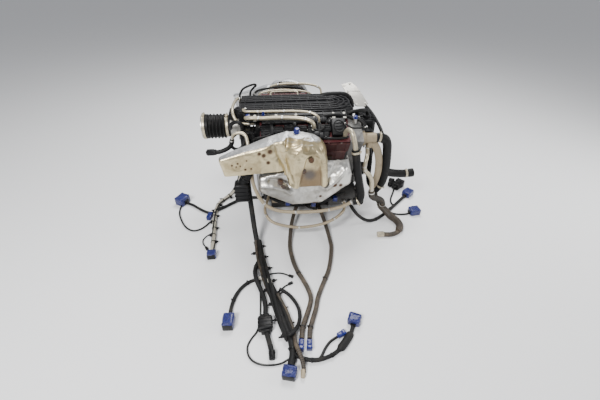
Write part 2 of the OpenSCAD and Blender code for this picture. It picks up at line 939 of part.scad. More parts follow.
module turbo_shield(side) {
    on_side(side) {
        difference() {
            shield_form(0);
            shield_form(shield_t);
            box([-500, 0, 0], [500, shield_back_y, 900]);
            box([-500, 0, 0], [500, turbo_y - 20, turbo_z + volute_r + 3]);
            box([-500, 0, 0], [500, 900, dome_low_z]);
            box([-500, 0, 0], [turbine_x - 60, 900, turbo_z - 44]);
            box([-500, 0, 0], [turbine_x - 60, turbo_y + 20, turbo_z + 24]);
            box([-500, 0, 0], [compressor_x, turbo_y - 20, 900]);
            box([-500, 0, 0], [compressor_x - 140, turbo_y + 34, turbo_z + 36]);
        }
        bar_y(14, pad_y, pad_y + 7, x = turbine_x + 30, z = pad_z);
    }
}

module near_turbo_shield() {
    color("khaki")
        turbo_shield(near);
}

module far_turbo_shield() {
    color("lightgray")
        turbo_shield(far);
}

module lower_form(inset) {
    r = 28 - inset;
    hull() {
        for (x = [-180, 178])
            translate([x, lower_pad_y - 18, crank_z + 172])
                sphere(r = r, $fn = 32);
        for (x = [-70, 80])
            translate([x, lower_pad_y - 8, crank_z + 84])
                sphere(r = r, $fn = 32);
        for (x = [-180, 178])
            translate([x, lower_pad_y - 90, crank_z + 172])
                sphere(r = r, $fn = 32);
        for (x = [-70, 80])
            translate([x, lower_pad_y - 90, crank_z + 84])
                sphere(r = r, $fn = 32);
    }
}

module manifold_shield() {
    color("silver")
    on_side(near) {
        difference() {
            lower_form(0);
            lower_form(shield_t);
            box([-500, 0, 0], [500, log_world_y + 40, 900]);
            box([-500, 0, 0], [500, turbo_y + 44, crank_z + 100]);
            box([-500, 0, dome_low_z - 3], [500, 900, 900]);
        }
        for (x = lower_pad_x)
            bar_y(14, lower_pad_y, lower_pad_y + 12, x = x, z = lower_pad_z);
    }
}

// --- Top and front fittings ---
module ignition_coils() {
    color([0.12, 0.12, 0.12])
    for (side = sides, i = [-1 : 1])
        on_bank(side)
            translate([i * cyl_pitch, 0, cover_top]) {
                translate([0, 0, head_top - cover_top - 50])
                    cylinder(r = 12, h = cover_h + 52);
                box([-22, -16, 0], [22, 16, 16]);
            }
}

module cover_bolts() {
    color("silver")
    for (side = sides, k = [-3 : 3], y = [-head_half_w + 5, head_half_w - 5])
        on_bank(side)
            translate([58 * k, y, cover_top - 14])
                cylinder(r = 4, h = 5);
}

// Height of a cover's top face above the crank, at distance y from the middle
function cover_rise(y) = (cover_top - y * sin(bank_half)) / cos(bank_half);

// Pipes and hoses that the engine holds: z is measured from the crank's centre
module steel_pipes() {
    color("wheat")
    translate([0, 0, crank_z]) {
        swept_tube(rail_pipe, 9, steps = 3);
        swept_tube(upper_pipe, 5, steps = 3, sides = 8);
        swept_tube(under_pipe, 8, steps = 3);
        swept_tube(under_pipe_two, 7, steps = 3);
        swept_tube(far_pipe, 6, steps = 3, sides = 8);
    }
}

rail_pipe = [[-250, -95, 355], [-256, -130, 372], [-240, -160, 384], [-190, -168, 384],
    [-120, -172, 386], [-60, -178, 386], [-10, -188, 385], [30, -206, 378], [44, -205, 355],
    [44, -190, cover_rise(190)]];
upper_pipe = [[-255, -60, 385], [-266, -104, 402], [-250, -135, 406], [-180, -142, 406],
    [-100, -146, 406], [-40, -150, 406], [20, -160, 404], [60, -180, 392], [70, -180, 370],
    [70, -165, cover_rise(165)]];
under_pipe = [[-235, -290, 212], [-238, -322, 190], [-234, -338, 150], [-215, -346, 90],
    [-185, -354, 45], [-130, -362, 16], [-50, -366, 6], [50, -366, 4], [150, -352, 8], [225, -328, 22]];
under_pipe_two = [[-172, -118, -30], [-172, -150, -30], [-182, -210, -30], [-196, -280, -30],
    [-188, -330, -38], [-158, -358, -56], [-100, -368, -74], [-30, -370, -86], [60, -366, -80],
    [130, -350, -66], [186, -308, -52], [200, -266, -44], [200, -234, -42]];
far_pipe = [[-150, 225, cover_rise(225)], [-150, 240, 335], [-148, 258, 375], [-110, 270, 392],
    [-20, 272, 396], [70, 266, 392], [130, 256, 374], [140, 240, 335], [140, 225, cover_rise(225)]];

module thermostat_housing() {
    at = [-200, crank_z + 285];
    color("tan")
    difference() {
        union() {
            bar_x(34, cover_face, cover_face + 12, y = at[0], z = at[1]);
            bar_x(24, cover_face, cover_face + 66, y = at[0], z = at[1]);
            translate([cover_face + 40, at[0], at[1] - 44])
                cylinder(r = 15, h = 44);
        }
        bar_x(19, cover_face + 6, cover_face + 67, y = at[0], z = at[1]);
    }
}

front_hose_path = [[180, -225, cover_rise(225)], [180, -240, 335], [186, -262, 358], [196, -290, 356],
    [204, -306, 328], [212, -316, 290], [220, -322, 240], [230, -326, 180], [244, -330, 120],
    [256, -334, 65], [250, -334, 30], [225, -328, 22]];
// x is measured from the front cover's face, z from the crank's centre
radiator_hose_path = [[66, -200, 285], [87, -200, 285], [113, -200, 276], [127, -200, 248],
    [135, -198, 200], [141, -196, 140], [143, -194, 80], [135, -190, 25], [115, -180, -20]];

stub_hose_path = [[140, -194, 102], [165, -192, 88], [197, -190, 80], [245, -190, 76], [291, -190, 80]];

module front_hose() {
    color([0.12, 0.12, 0.12])
    translate([0, 0, crank_z])
        swept_tube(front_hose_path, 19, steps = 2, sides = 12);
}

module radiator_hose() {
    color([0.12, 0.12, 0.12])
    translate([cover_face, 0, crank_z])
    union() {
        swept_tube(radiator_hose_path, 21, steps = 2, sides = 12);
        swept_tube(stub_hose_path, 20, steps = 2, sides = 12);
    }
}

module water_pump() {
    color("silver")
    difference() {
        union() {
            bar_x(46, cover_face, cover_face + 10, y = pump_at[0], z = pump_at[1]);
            bar_x(20, cover_face, belt_x0 - 3, y = pump_at[0], z = pump_at[1]);
        }
        bar_x(8 + run_gap, cover_face + 2, belt_x0, y = pump_at[0], z = pump_at[1]);
    }
}

module water_pump_pulley() {
    color("dimgray") {
        pulley(pump_at, pump_pulley_r, 8, belt_x0 - pulley_lip, belt_x1 + pulley_lip);
        bar_x(8, cover_face + 3, belt_x1 + pulley_lip, y = pump_at[0], z = pump_at[1]);
    }
}

module alternator() {
    x0 = cover_face - 125;
    x1 = cover_face - 7;
    color("silver")
    difference() {
        union() {
            bar_x(60, x0, x1, y = alt_at[0], z = alt_at[1]);
            for (x = [x0 + 15, x1 - 63])
                box([x, skirt_y, crank_z - 30], [x + 18, alt_at[0], crank_z + 4]);
        }
        bar_x(52, x0 + 8, x1 - 8, y = alt_at[0], z = alt_at[1]);
        bar_x(8 + run_gap, x0 + 2, x1 + eps, y = alt_at[0], z = alt_at[1]);
        for (k = [0 : 11])
            translate([0, alt_at[0], alt_at[1]])
                rotate([30 * k, 0, 0])
                    box([x1 - 9, -4, 20], [x1 + eps, 4, 46]);
    }
}

module alternator_rotor() {
    x0 = cover_face - 125;
    color("dimgray") {
        bar_x(8, x0 + 3, belt_x1 + 4, y = alt_at[0], z = alt_at[1]);
        bar_x(44, x0 + 20, x0 + 98, y = alt_at[0], z = alt_at[1]);
        pulley(alt_at, alt_pulley_r, 8, belt_x0 - pulley_lip, belt_x1 + pulley_lip);
    }
}

module ac_compressor() {
    x0 = cover_face - 140;
    x1 = cover_face - 5;
    color("silver")
    union() {
        bar_x(54, x0, x1, y = ac_at[0], z = ac_at[1]);
        bar_x(22, x1 - eps, belt_x1 - 2, y = ac_at[0], z = ac_at[1]);
        for (x = [x0 + 12, x1 - 80])
            box([x, ac_at[0], ac_at[1] - 10], [x + 20, -skirt_y, ac_at[1] + 22]);
    }
}

module ac_pulley() {
    color("dimgray")
        pulley(ac_at, ac_pulley_r, 22 + run_gap, belt_x0 - pulley_lip, belt_x1 + pulley_lip);
}

module tensioner_arm() {
    x0 = cover_face + 4.3;
    x1 = belt_x0 - 3;
    color("silver")
    difference() {
        union() {
            hull() {
                bar_x(18, x0, x1, y = tens_pivot[0], z = tens_pivot[1], $fn = 32);
                bar_x(14, x0, x1, y = tens_at[0], z = tens_at[1], $fn = 32);
            }
            bar_x(10, x0, belt_x1 - 2, y = tens_at[0], z = tens_at[1]);
        }
        bar_x(9 + run_gap, x0 - eps, x1 + eps, y = tens_pivot[0], z = tens_pivot[1]);
    }
}

module tensioner_pulley() {
    color("dimgray")
        pulley(tens_at, tens_pulley_r, 10 + run_gap, belt_x0 - pulley_lip, belt_x1 + pulley_lip);
}

// Belt drive: each pulley is [y, z, signed radius], positive inside the loop
belt_gap = soft_gap + belt_t / 2;
belt_wheels = [[0, crank_z, crank_pulley_r + belt_gap],
    [alt_at[0], alt_at[1], alt_pulley_r + belt_gap],
    [pump_at[0], pump_at[1], pump_pulley_r + belt_gap],
    [tens_at[0], tens_at[1], -tens_pulley_r - belt_gap],
    [ac_at[0], ac_at[1], ac_pulley_r + belt_gap]];

// Direction of the normal of the straight run from wheel a to wheel b
function run_normal(a, b) =
    atan2(b[1] - a[1], b[0] - a[0]) + acos((b[2] - a[2]) / norm([b[0] - a[0], b[1] - a[1]]));

function turn_to(from, to, positive) =
    positive ? from + ((to - from) % 360 + 360) % 360 : from - ((from - to) % 360 + 360) % 360;

function belt_path(grow) = [
    for (i = [0 : len(belt_wheels) - 1])
        let (n = len(belt_wheels), w = belt_wheels[i])
        let (a0 = run_normal(belt_wheels[(i + n - 1) % n], w))
        let (a1 = turn_to(a0, run_normal(w, belt_wheels[(i + 1) % n]), w[2] > 0))
        let (steps = ceil(abs(a1 - a0) / 6))
        for (k = [0 : steps])
            let (a = a0 + (a1 - a0) * k / steps)
            [w[0] - (w[2] + grow) * cos(a), w[1] - (w[2] + grow) * sin(a)]];

module drive_belt() {
    color([0.08, 0.08, 0.08])
    translate([belt_x0, 0, 0])
        rotate([90, 0, 90])
            linear_extrude(belt_w)
                difference() {
                    polygon(belt_path(belt_t / 2));
                    polygon(belt_path(-belt_t / 2));
                }
}

module oil_filter() {
    color("white")
    translate([-112, -skirt_y - 46, crank_z - 40]) {
        bar_x(38, -50, 50);
        box([-40, 20, -22], [40, 46, 22]);
    }
}

// --- Looms and loose hoses: routes in millimetres, chosen by hand ---
loom_r = 13;
branch_r = 8;
hose_r = 10;

front_loom_path = [[-195, -160, 380], [-225, -160, 380], [-252, -180, 368], [-264, -216, 332],
    [-266, -252, 278], [-262, -286, 210], [-256, -320, 140], [-250, -356, 80], [-242, -396, 36],
    [-234, -440, 15], [-224, -496, 13], [-208, -560, 13], [-190, -630, 13], [-170, -700, 13],
    [-150, -770, 13], [-130, -840, 13], [-112, -900, 13], [-108, -950, 13], [-118, -990, 13]];
branch_left_path = [[-198, -600, 20], [-214, -606, 12], [-240, -612, 8], [-268, -622, 8],
    [-294, -642, 8], [-314, -670, 8], [-328, -704, 8], [-336, -742, 8], [-338, -775, 8]];
branch_right_path = [[-108, -950, 20], [-90, -960, 12], [-64, -970, 8], [-32, -976, 8],
    [0, -972, 8], [34, -960, 8], [66, -938, 8], [94, -908, 8], [112, -884, 8], [122, -862, 8]];
hose_left_path = [[-25, -110, 60], [-25, -140, 60], [-36, -184, 57], [-52, -236, 48],
    [-68, -292, 35], [-78, -350, 22], [-84, -400, 12], [-86, -444, 10], [-82, -490, 10],
    [-74, -540, 10], [-60, -590, 10], [-42, -636, 10], [-26, -684, 10], [-20, -730, 10],
    [-34, -776, 10], [-52, -820, 10], [-66, -860, 10], [-72, -896, 10]];
hose_right_path = [[75, -110, 60], [75, -140, 60], [82, -184, 57], [90, -236, 48],
    [99, -292, 35], [106, -350, 22], [110, -400, 12], [110, -444, 10], [102, -490, 10],
    [90, -540, 10], [74, -590, 10], [52, -636, 10], [28, -684, 10], [8, -730, 10],
    [-6, -778, 10], [-24, -824, 10], [-38, -864, 10], [-44, -900, 10]];
left_loom_path = [[-195, 150, 400], [-225, 150, 400], [-262, 140, 390], [-290, 112, 350],
    [-306, 82, 290], [-318, 60, 220], [-332, 46, 150], [-352, 34, 84], [-386, 14, 30],
    [-428, -16, 11], [-458, -62, 11], [-468, -120, 11], [-468, -180, 11], [-462, -250, 11],
    [-456, -320, 11], [-452, -380, 11], [-450, -430, 11]];
left_branch_path = [[-466, -150, 18], [-484, -146, 12], [-512, -134, 8], [-544, -112, 8],
    [-576, -84, 8], [-606, -58, 8], [-636, -40, 8]];
right_loom_path = [[230, -234, 118], [230, -262, 116], [244, -286, 96], [276, -298, 60],
    [320, -292, 26], [366, -274, 11], [410, -246, 9], [450, -214, 9], [490, -180, 9],
    [528, -146, 9], [562, -114, 9], [596, -84, 9]];
right_hose_path = [[380, -180, 140], [384, -184, 108], [398, -196, 76], [416, -214, 50],
    [436, -238, 35], [458, -268, 18], [476, -302, 12], [478, -342, 12], [458, -376, 12],
    [420, -392, 12], [380, -388, 12]];

module front_loom() {
    color([0.1, 0.1, 0.1])
        swept_tube(front_loom_path, loom_r, steps = 2);
}

module front_branch_left() {
    color([0.1, 0.1, 0.1])
        swept_tube(branch_left_path, branch_r, steps = 2, sides = 8);
}

module front_branch_right() {
    color([0.1, 0.1, 0.1])
        swept_tube(branch_right_path, branch_r, steps = 2, sides = 8);
}

module brown_hose_left() {
    color("saddlebrown")
        swept_tube(hose_left_path, hose_r, steps = 2);
}

module brown_hose_right() {
    color("saddlebrown")
        swept_tube(hose_right_path, hose_r, steps = 2);
}

module left_loom() {
    color("wheat")
        swept_tube(left_loom_path, 11, steps = 2);
}

module left_branch() {
    color([0.1, 0.1, 0.1])
        swept_tube(left_branch_path, branch_r, steps = 2, sides = 8);
}

module right_loom() {
    color([0.1, 0.1, 0.1])
        swept_tube(right_loom_path, 9, steps = 2, sides = 8);
}

module right_hose() {
    color([0.1, 0.1, 0.1])
        swept_tube(right_hose_path, 12, steps = 2);
}

// A connector: a block whose back face meets the end of its loom
module connector(at, angle, size) {
    translate([at[0], at[1], 0])
        rotate([0, 0, angle])
            box([0, -size[1] / 2, 0], [size[0], size[1] / 2, size[2]]);
}

module loom_connectors() {
    color("mediumblue") {
        connector([-118, -990], -104, [44, 44, 30]);
        connector([-338, -775], -93, [62, 40, 34]);
        connector([122, -862], 65, [46, 44, 30]);
        connector([-72, -896], -100, [44, 22, 22]);
        connector([-44, -900], -97, [40, 22, 22]);
        connector([-450, -430], -88, [44, 38, 28]);
        connector([-636, -40], 150, [60, 62, 44]);
        connector([596, -84], 40, [64, 44, 34]);
    }
}

engine_block();
oil_pan();
near_cylinder_head();
far_cylinder_head();
near_cam_cover();
far_cam_cover();
front_cover();
pistons();
crankshaft();
crank_pulley();
flywheel();
near_intake_camshaft();
near_exhaust_camshaft();
far_intake_camshaft();
far_exhaust_camshaft();
timing_chains();
intake_manifold();
intake_plenum();
throttle_body();
throttle_plate();
inlet_bellows();
hose_clamps();
near_exhaust_manifold();
far_exhaust_manifold();
near_turbine_housing();
far_turbine_housing();
near_compressor_housing();
far_compressor_housing();
near_turbo_rotor();
far_turbo_rotor();
near_turbo_shield();
far_turbo_shield();
manifold_shield();
ignition_coils();
steel_pipes();
thermostat_housing();
front_hose();
radiator_hose();
water_pump();
water_pump_pulley();
alternator();
alternator_rotor();
ac_compressor();
ac_pulley();
tensioner_arm();
tensioner_pulley();
drive_belt();
oil_filter();
oil_filler_cap();
cover_bolts();
front_loom();
front_branch_left();
front_branch_right();
brown_hose_left();
brown_hose_right();
left_loom();
left_branch();
right_loom();
right_hose();
loom_connectors();
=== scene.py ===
"""Finishes, pressed shields, hoses and wiring of a turbocharged V6 engine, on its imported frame."""
import math

import bmesh
import bpy
from mathutils import Matrix, Vector, noise


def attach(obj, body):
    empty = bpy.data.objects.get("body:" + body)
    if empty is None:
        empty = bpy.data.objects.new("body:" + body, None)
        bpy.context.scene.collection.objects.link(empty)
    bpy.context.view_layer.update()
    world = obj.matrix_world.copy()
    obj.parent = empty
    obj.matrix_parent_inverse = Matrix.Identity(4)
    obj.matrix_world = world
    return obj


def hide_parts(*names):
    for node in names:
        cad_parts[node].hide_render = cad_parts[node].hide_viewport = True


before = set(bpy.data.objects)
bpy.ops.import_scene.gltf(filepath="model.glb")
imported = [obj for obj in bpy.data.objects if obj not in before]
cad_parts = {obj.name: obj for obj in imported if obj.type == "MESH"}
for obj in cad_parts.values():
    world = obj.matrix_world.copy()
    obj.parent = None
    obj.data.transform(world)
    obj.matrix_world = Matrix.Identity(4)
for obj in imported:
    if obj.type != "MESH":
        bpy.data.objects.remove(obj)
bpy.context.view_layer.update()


# --- Camera, floor and light ---
def place_camera():
    """Looks down on the near bank from standing height."""
    data = bpy.data.cameras.new("camera")
    data.lens = 19.2
    data.sensor_width = 36.0
    camera = bpy.data.objects.new("camera", data)
    camera.location = (-0.1325, -1.514, 1.10)
    camera.rotation_euler = (math.radians(53.1), 0.0, math.radians(-5.0))
    bpy.context.scene.collection.objects.link(camera)
    bpy.context.scene.camera = camera


def softbox(name, place, aim_at, size, power):
    data = bpy.data.lights.new(name, "AREA")
    data.shape = "DISK"
    data.size = size
    data.energy = power
    lamp = bpy.data.objects.new(name, data)
    lamp.location = place
    lamp.rotation_euler = (Vector(aim_at) - Vector(place)).to_track_quat("-Z", "Y").to_euler()
    bpy.context.scene.collection.objects.link(lamp)


def make_studio():
    """Pale floor under the engine, a pale sky and three soft lamps."""
    bm = bmesh.new()
    bmesh.ops.create_grid(bm, x_segments=1, y_segments=1, size=30.0)
    mesh = bpy.data.meshes.new("floor")
    bm.to_mesh(mesh)
    bm.free()
    floor = bpy.data.objects.new("floor", mesh)
    floor.location.z = -0.0008
    bpy.context.scene.collection.objects.link(floor)
    paint = Finish("floor_paint", roughness=0.9)
    paint.shader.inputs["Base Color"].default_value = (0.9, 0.9, 0.9, 1.0)
    mesh.materials.append(paint.material)
    world = bpy.data.worlds.new("sky")
    world.use_nodes = True
    sky = world.node_tree.nodes["Background"]
    sky.inputs["Color"].default_value = (0.93, 0.95, 1.0, 1.0)
    sky.inputs["Strength"].default_value = 0.42
    bpy.context.scene.world = world
    softbox("key_lamp", (-1.3, -2.3, 2.5), (0.0, -0.2, 0.3), 0.9, 120.0)
    softbox("fill_lamp", (2.4, -0.6, 1.2), (0.0, 0.0, 0.3), 1.2, 26.0)
    softbox("top_lamp", (0.3, 0.9, 2.6), (0.0, 0.0, 0.4), 1.4, 75.0)


# --- Shader expressions ---
class Field:
    """A socket of a finish, on which sums may be written."""

    def __init__(self, finish, socket):
        self.finish = finish
        self.socket = socket

    def maths(self, operation, first, second):
        return self.finish.node("ShaderNodeMath", {"operation": operation}, {0: first, 1: second})

    def __add__(self, other):
        return self.maths("ADD", self, other)

    def __radd__(self, other):
        return self.maths("ADD", other, self)

    def __sub__(self, other):
        return self.maths("SUBTRACT", self, other)

    def __rsub__(self, other):
        return self.maths("SUBTRACT", other, self)

    def __mul__(self, other):
        return self.maths("MULTIPLY", self, other)

    def __rmul__(self, other):
        return self.maths("MULTIPLY", other, self)

    def __truediv__(self, other):
        return self.maths("DIVIDE", self, other)

    def __pow__(self, other):
        return self.maths("POWER", self, other)

    def sine(self):
        return self.maths("SINE", self, 0.0)

    def larger(self, other):
        return self.maths("MAXIMUM", self, other)

    def step(self, low, high):
        """Rises smoothly from 0 at low to 1 at high."""
        return self.finish.node("ShaderNodeMapRange", {"interpolation_type": "SMOOTHSTEP"},
                                {"Value": self, "From Min": low, "From Max": high}, "Result")


class Finish:
    """One material, whose nodes are made through node()."""

    def __init__(self, name, roughness=0.6, metallic=0.0, coat=0.0):
        self.material = bpy.data.materials.new(name)
        self.material.use_nodes = True
        self.tree = self.material.node_tree
        self.shader = self.tree.nodes["Principled BSDF"]
        self.shader.inputs["Roughness"].default_value = roughness
        self.shader.inputs["Metallic"].default_value = metallic
        self.shader.inputs["Coat Weight"].default_value = coat
        self.shader.inputs["Coat Roughness"].default_value = 0.15
        self.place = self.node("ShaderNodeTexCoord", output="Object")
        self.facing = self.node("ShaderNodeTexCoord", output="Normal")

    def node(self, kind, settings=None, sockets=None, output=0):
        made = self.tree.nodes.new(kind)
        for key, value in (settings or {}).items():
            setattr(made, key, value)
        for key, value in (sockets or {}).items():
            self.plug(made.inputs[key], value)
        return Field(self, made.outputs[output])

    def plug(self, socket, value):
        if isinstance(value, Field):
            self.tree.links.new(value.socket, socket)
        else:
            socket.default_value = value

    def feed(self, name, value):
        self.plug(self.shader.inputs[name], value)

    def noise(self, scale, detail=4.0, rough=0.55, warp=0.0, place=None):
        return self.node("ShaderNodeTexNoise", {}, {
            "Vector": place or self.place, "Scale": scale, "Detail": detail,
            "Roughness": rough, "Distortion": warp}, "Fac")

    def cells(self, scale, output="Distance", place=None):
        return self.node("ShaderNodeTexVoronoi", {}, {
            "Vector": place or self.place, "Scale": scale}, output)

    def mix(self, first, second, share):
        return self.node("ShaderNodeMix", {"data_type": "RGBA"},
                         {0: share, 6: rgba(first), 7: rgba(second)}, 2)

    def stretched(self, scale):
        return self.node("ShaderNodeMapping", {}, {"Vector": self.place, "Scale": scale}, "Vector")

    def axis(self, name, vector=None):
        return self.node("ShaderNodeSeparateXYZ", {}, {0: vector or self.place}, name)

    def near(self, point, inner, outer, place=None):
        """1 within inner of a point, falling to 0 at outer."""
        gap = self.node("ShaderNodeVectorMath", {"operation": "DISTANCE"},
                        {0: place or self.place, 1: point}, "Value")
        return 1.0 - gap.step(inner, outer)

    def bumps(self, height, depth, strength=0.6):
        self.feed("Normal", self.node("ShaderNodeBump", {}, {
            "Height": height, "Distance": depth, "Strength": strength}, "Normal"))


def rgba(colour):
    if isinstance(colour, Field):
        return colour
    return (*colour, 1.0)


# --- Finishes ---
def grimy(name, base, shade, dirt, roughness, metallic=0.0, grain=420.0, patch=9.0,
          soiled=0.5, depth=0.0006, dusty=0.0, coat=0.0, specular=0.5):
    """A surface of two close colours under dirt in patches, and dust on what faces up."""
    f = Finish(name, roughness, metallic, coat)
    f.shader.inputs["Specular IOR Level"].default_value = specular
    broad = f.noise(patch, 5.0, 0.6, 0.3)
    fine = f.noise(grain, 3.0, 0.6)
    spread = f.noise(patch * 4.0, 6.0, 0.7, 0.6)
    stain = (broad * 0.6 + spread * 0.4).step(0.62 - 0.2 * soiled, 0.72)
    colour = f.mix(base, shade, fine.step(0.35, 0.65))
    colour = f.mix(colour, dirt, stain * (0.45 + 0.4 * soiled))
    if dusty:
        up = f.axis("Z", f.facing).step(0.3, 0.95)
        colour = f.mix(colour, (0.15, 0.135, 0.115), up * spread.step(0.42, 0.75) * dusty)
    f.feed("Base Color", colour)
    f.feed("Roughness", roughness + 0.22 * stain + 0.12 * (fine - 0.5))
    if metallic:
        f.feed("Metallic", metallic * (1.0 - 0.7 * stain))
    f.bumps(fine * 0.5 + spread * 0.5, depth)
    return f.material


def taped(name, tape, edge, dirt):
    """Cloth tape wound along a loom, lapped every 11 mm."""
    f = Finish(name, 0.62)
    f.shader.inputs["Specular IOR Level"].default_value = 0.3
    wound = f.node("ShaderNodeUVMap", output="UV")
    along = f.axis("Y", wound)
    around = f.axis("X", wound)
    turns = along * 90.0 + around
    lap = f.node("ShaderNodeMath", {"operation": "FRACT"}, {0: turns})
    ridge = lap.step(0.0, 0.08) * (1.0 - 0.35 * lap)
    weave = f.noise(900.0, 2.0)
    grime = f.noise(16.0, 5.0, 0.65, 0.4)
    colour = f.mix(edge, tape, ridge)
    colour = f.mix(colour, dirt, grime.step(0.5, 0.74) * 0.55)
    f.feed("Base Color", colour)
    f.feed("Roughness", 0.42 + 0.3 * grime + 0.1 * weave)
    f.bumps(ridge + weave * 0.2, 0.0011, 0.8)
    return f.material


def convoluted(name, crest, groove_shade, dirt):
    """Ribbed hose, darker between its ribs, where its colour is painted shade."""
    f = Finish(name, 0.6)
    along = f.axis("Y", f.node("ShaderNodeUVMap", output="UV"))
    rib = (along * (2.0 * math.pi / HOSE_RIB)).sine() * 0.5 + 0.5
    grime = f.noise(22.0, 5.0, 0.65, 0.5)
    fine = f.noise(600.0, 2.0)
    # the darker colour between the ribs is painted shade in the grooves
    colour = f.mix(groove_shade, crest, rib.step(0.2, 0.8))
    colour = f.mix(colour, dirt, grime.step(0.46, 0.7) * 0.6)
    f.feed("Base Color", colour)
    f.feed("Roughness", 0.5 + 0.25 * grime)
    f.bumps(fine * 0.4 + grime * 0.6, 0.0008)
    return f.material


def wrapped_film(name, film, light):
    """Thin plastic film bunched round a connector, with painted highlights along its folds."""
    f = Finish(name, 0.28, 0.0, 0.35)
    crease = f.noise(55.0, 4.0, 0.6, 1.6)
    pull = f.noise(160.0, 3.0, 0.6, 2.2)
    folds = 1.0 - (crease - 0.5).maths("ABSOLUTE", crease - 0.5, 0.0) * 6.0
    # the lighter colour along the folds and pulled patches is painted highlight
    colour = f.mix(film, light, folds.step(0.55, 1.0) * 0.5 + pull.step(0.6, 0.8) * 0.3)
    f.feed("Base Color", colour)
    f.feed("Roughness", 0.2 + 0.25 * pull)
    f.bumps(folds * 0.7 + pull * 0.3, 0.002, 0.9)
    return f.material


def crackle_red():
    """Dark red wrinkle paint with oily dust in patches, more on what faces up."""
    f = Finish("crackle_red", 0.5, 0.0, 0.1)
    wrinkle = f.cells(420.0)
    grime = f.noise(12.0, 6.0, 0.65, 0.5)
    colour = f.mix((0.13, 0.012, 0.014), (0.055, 0.006, 0.008), wrinkle.step(0.0, 0.6))
    up = f.axis("Z", f.facing).step(0.2, 0.9)
    colour = f.mix(colour, (0.12, 0.085, 0.07), grime.step(0.45, 0.7) * (0.35 + 0.4 * up))
    f.feed("Base Color", colour)
    f.feed("Roughness", 0.42 + 0.3 * grime)
    f.bumps(wrinkle, 0.0007, 0.7)
    return f.material


def worn_steel(name, colour, rust, share, roughness=0.32):
    """Turned steel with fine rings of tooling and light surface rust."""
    f = Finish(name, roughness, 1.0)
    bite = f.noise(30.0, 7.0, 0.7, 0.4)
    streak = f.noise(700.0, 2.0, place=f.stretched((1.0, 0.06, 0.06)))
    rusty = bite.step(0.66 - 0.25 * share, 0.8 - 0.15 * share)
    f.feed("Base Color", f.mix(colour, rust, rusty))
    f.feed("Metallic", 1.0 - 0.9 * rusty)
    f.feed("Roughness", roughness + 0.45 * rusty + 0.1 * streak)
    f.bumps(streak * 0.4 + rusty * 0.6, 0.0003)
    return f.material


def scorched_iron():
    """Cast exhaust iron: brown scale over grey, sandy skin."""
    f = Finish("scorched_iron", 0.78, 0.25)
    sand = f.noise(520.0, 3.0, 0.6)
    scale = f.noise(26.0, 7.0, 0.7, 0.5)
    heat = f.noise(5.0, 2.0)
    colour = f.mix((0.085, 0.066, 0.056), (0.105, 0.050, 0.024), scale.step(0.42, 0.66))
    colour = f.mix(colour, (0.045, 0.038, 0.038), heat.step(0.5, 0.7) * 0.7)
    f.feed("Base Color", colour)
    f.feed("Roughness", 0.7 + 0.2 * sand)
    f.bumps(sand * 0.7 + scale * 0.3, 0.0009, 0.8)
    return f.material


HOSE_RIB = 0.0065
cast_grey = grimy("cast_grey", (0.25, 0.248, 0.24), (0.18, 0.176, 0.168), (0.055, 0.042, 0.032), 0.5,
                  metallic=0.7, soiled=0.8, dusty=0.4)
cast_pale = grimy("cast_pale", (0.5, 0.49, 0.45), (0.42, 0.4, 0.36), (0.2, 0.15, 0.1), 0.46,
                  metallic=0.6, soiled=0.4, dusty=0.3)
cast_dark = grimy("cast_dark", (0.085, 0.083, 0.080), (0.055, 0.053, 0.050), (0.045, 0.032, 0.022), 0.52,
                  metallic=0.6, soiled=0.6, dusty=0.3, specular=0.4)
iron_dark = grimy("iron_dark", (0.030, 0.029, 0.028), (0.018, 0.0175, 0.017), (0.055, 0.034, 0.022), 0.62,
                  metallic=0.3, soiled=0.5, dusty=0.3, depth=0.001, specular=0.35)
moulded_black = grimy("moulded_black", (0.0065, 0.0065, 0.0072), (0.0035, 0.0035, 0.0038),
                      (0.030, 0.026, 0.022), 0.38, grain=700.0, patch=14.0, soiled=0.35,
                      depth=0.0003, dusty=0.07, specular=0.22)
moulded_dusty = grimy("moulded_dusty", (0.0075, 0.0075, 0.0085), (0.0045, 0.0045, 0.005),
                      (0.032, 0.030, 0.027), 0.42, grain=600.0, patch=11.0, soiled=0.35, depth=0.0004,
                      dusty=0.06, specular=0.22)
coil_black = grimy("coil_black", (0.009, 0.009, 0.0095), (0.006, 0.006, 0.006), (0.04, 0.034, 0.028), 0.5,
                   grain=700.0, soiled=0.3, depth=0.0003, dusty=0.06, specular=0.24)
rubber_black = grimy("rubber_black", (0.0050, 0.0050, 0.0052), (0.0085, 0.0083, 0.0080),
                     (0.034, 0.030, 0.026), 0.50, grain=500.0, patch=18.0, soiled=0.4, depth=0.0005,
                     dusty=0.05, specular=0.2)
belt_rubber = grimy("belt_rubber", (0.005, 0.005, 0.005), (0.009, 0.009, 0.009),
                    (0.028, 0.026, 0.023), 0.6, grain=300.0, soiled=0.3, specular=0.25)
plated_cream = grimy("plated_cream", (0.54, 0.48, 0.35), (0.42, 0.37, 0.27), (0.14, 0.085, 0.045), 0.34,
                     metallic=0.55, grain=260.0, patch=26.0, soiled=0.45, depth=0.0003)
pipe_tan = grimy("pipe_tan", (0.4, 0.33, 0.22), (0.31, 0.25, 0.17), (0.12, 0.075, 0.045), 0.5,
                 metallic=0.25, patch=22.0, soiled=0.5)
cast_tan = grimy("cast_tan", (0.33, 0.27, 0.18), (0.25, 0.20, 0.13), (0.09, 0.065, 0.045), 0.55,
                 metallic=0.3, soiled=0.5, depth=0.001)
brass_pale = grimy("brass_pale", (0.62, 0.5, 0.26), (0.52, 0.4, 0.2), (0.2, 0.13, 0.07), 0.36,
                   metallic=0.9, soiled=0.3)
tag_white = grimy("tag_white", (0.62, 0.6, 0.53), (0.5, 0.48, 0.42), (0.2, 0.16, 0.11), 0.6,
                  soiled=0.4, depth=0.0002)
wire_pale = grimy("wire_pale", (0.5, 0.47, 0.38), (0.34, 0.31, 0.25), (0.12, 0.1, 0.08), 0.42,
                  patch=40.0, soiled=0.4, depth=0.0002)
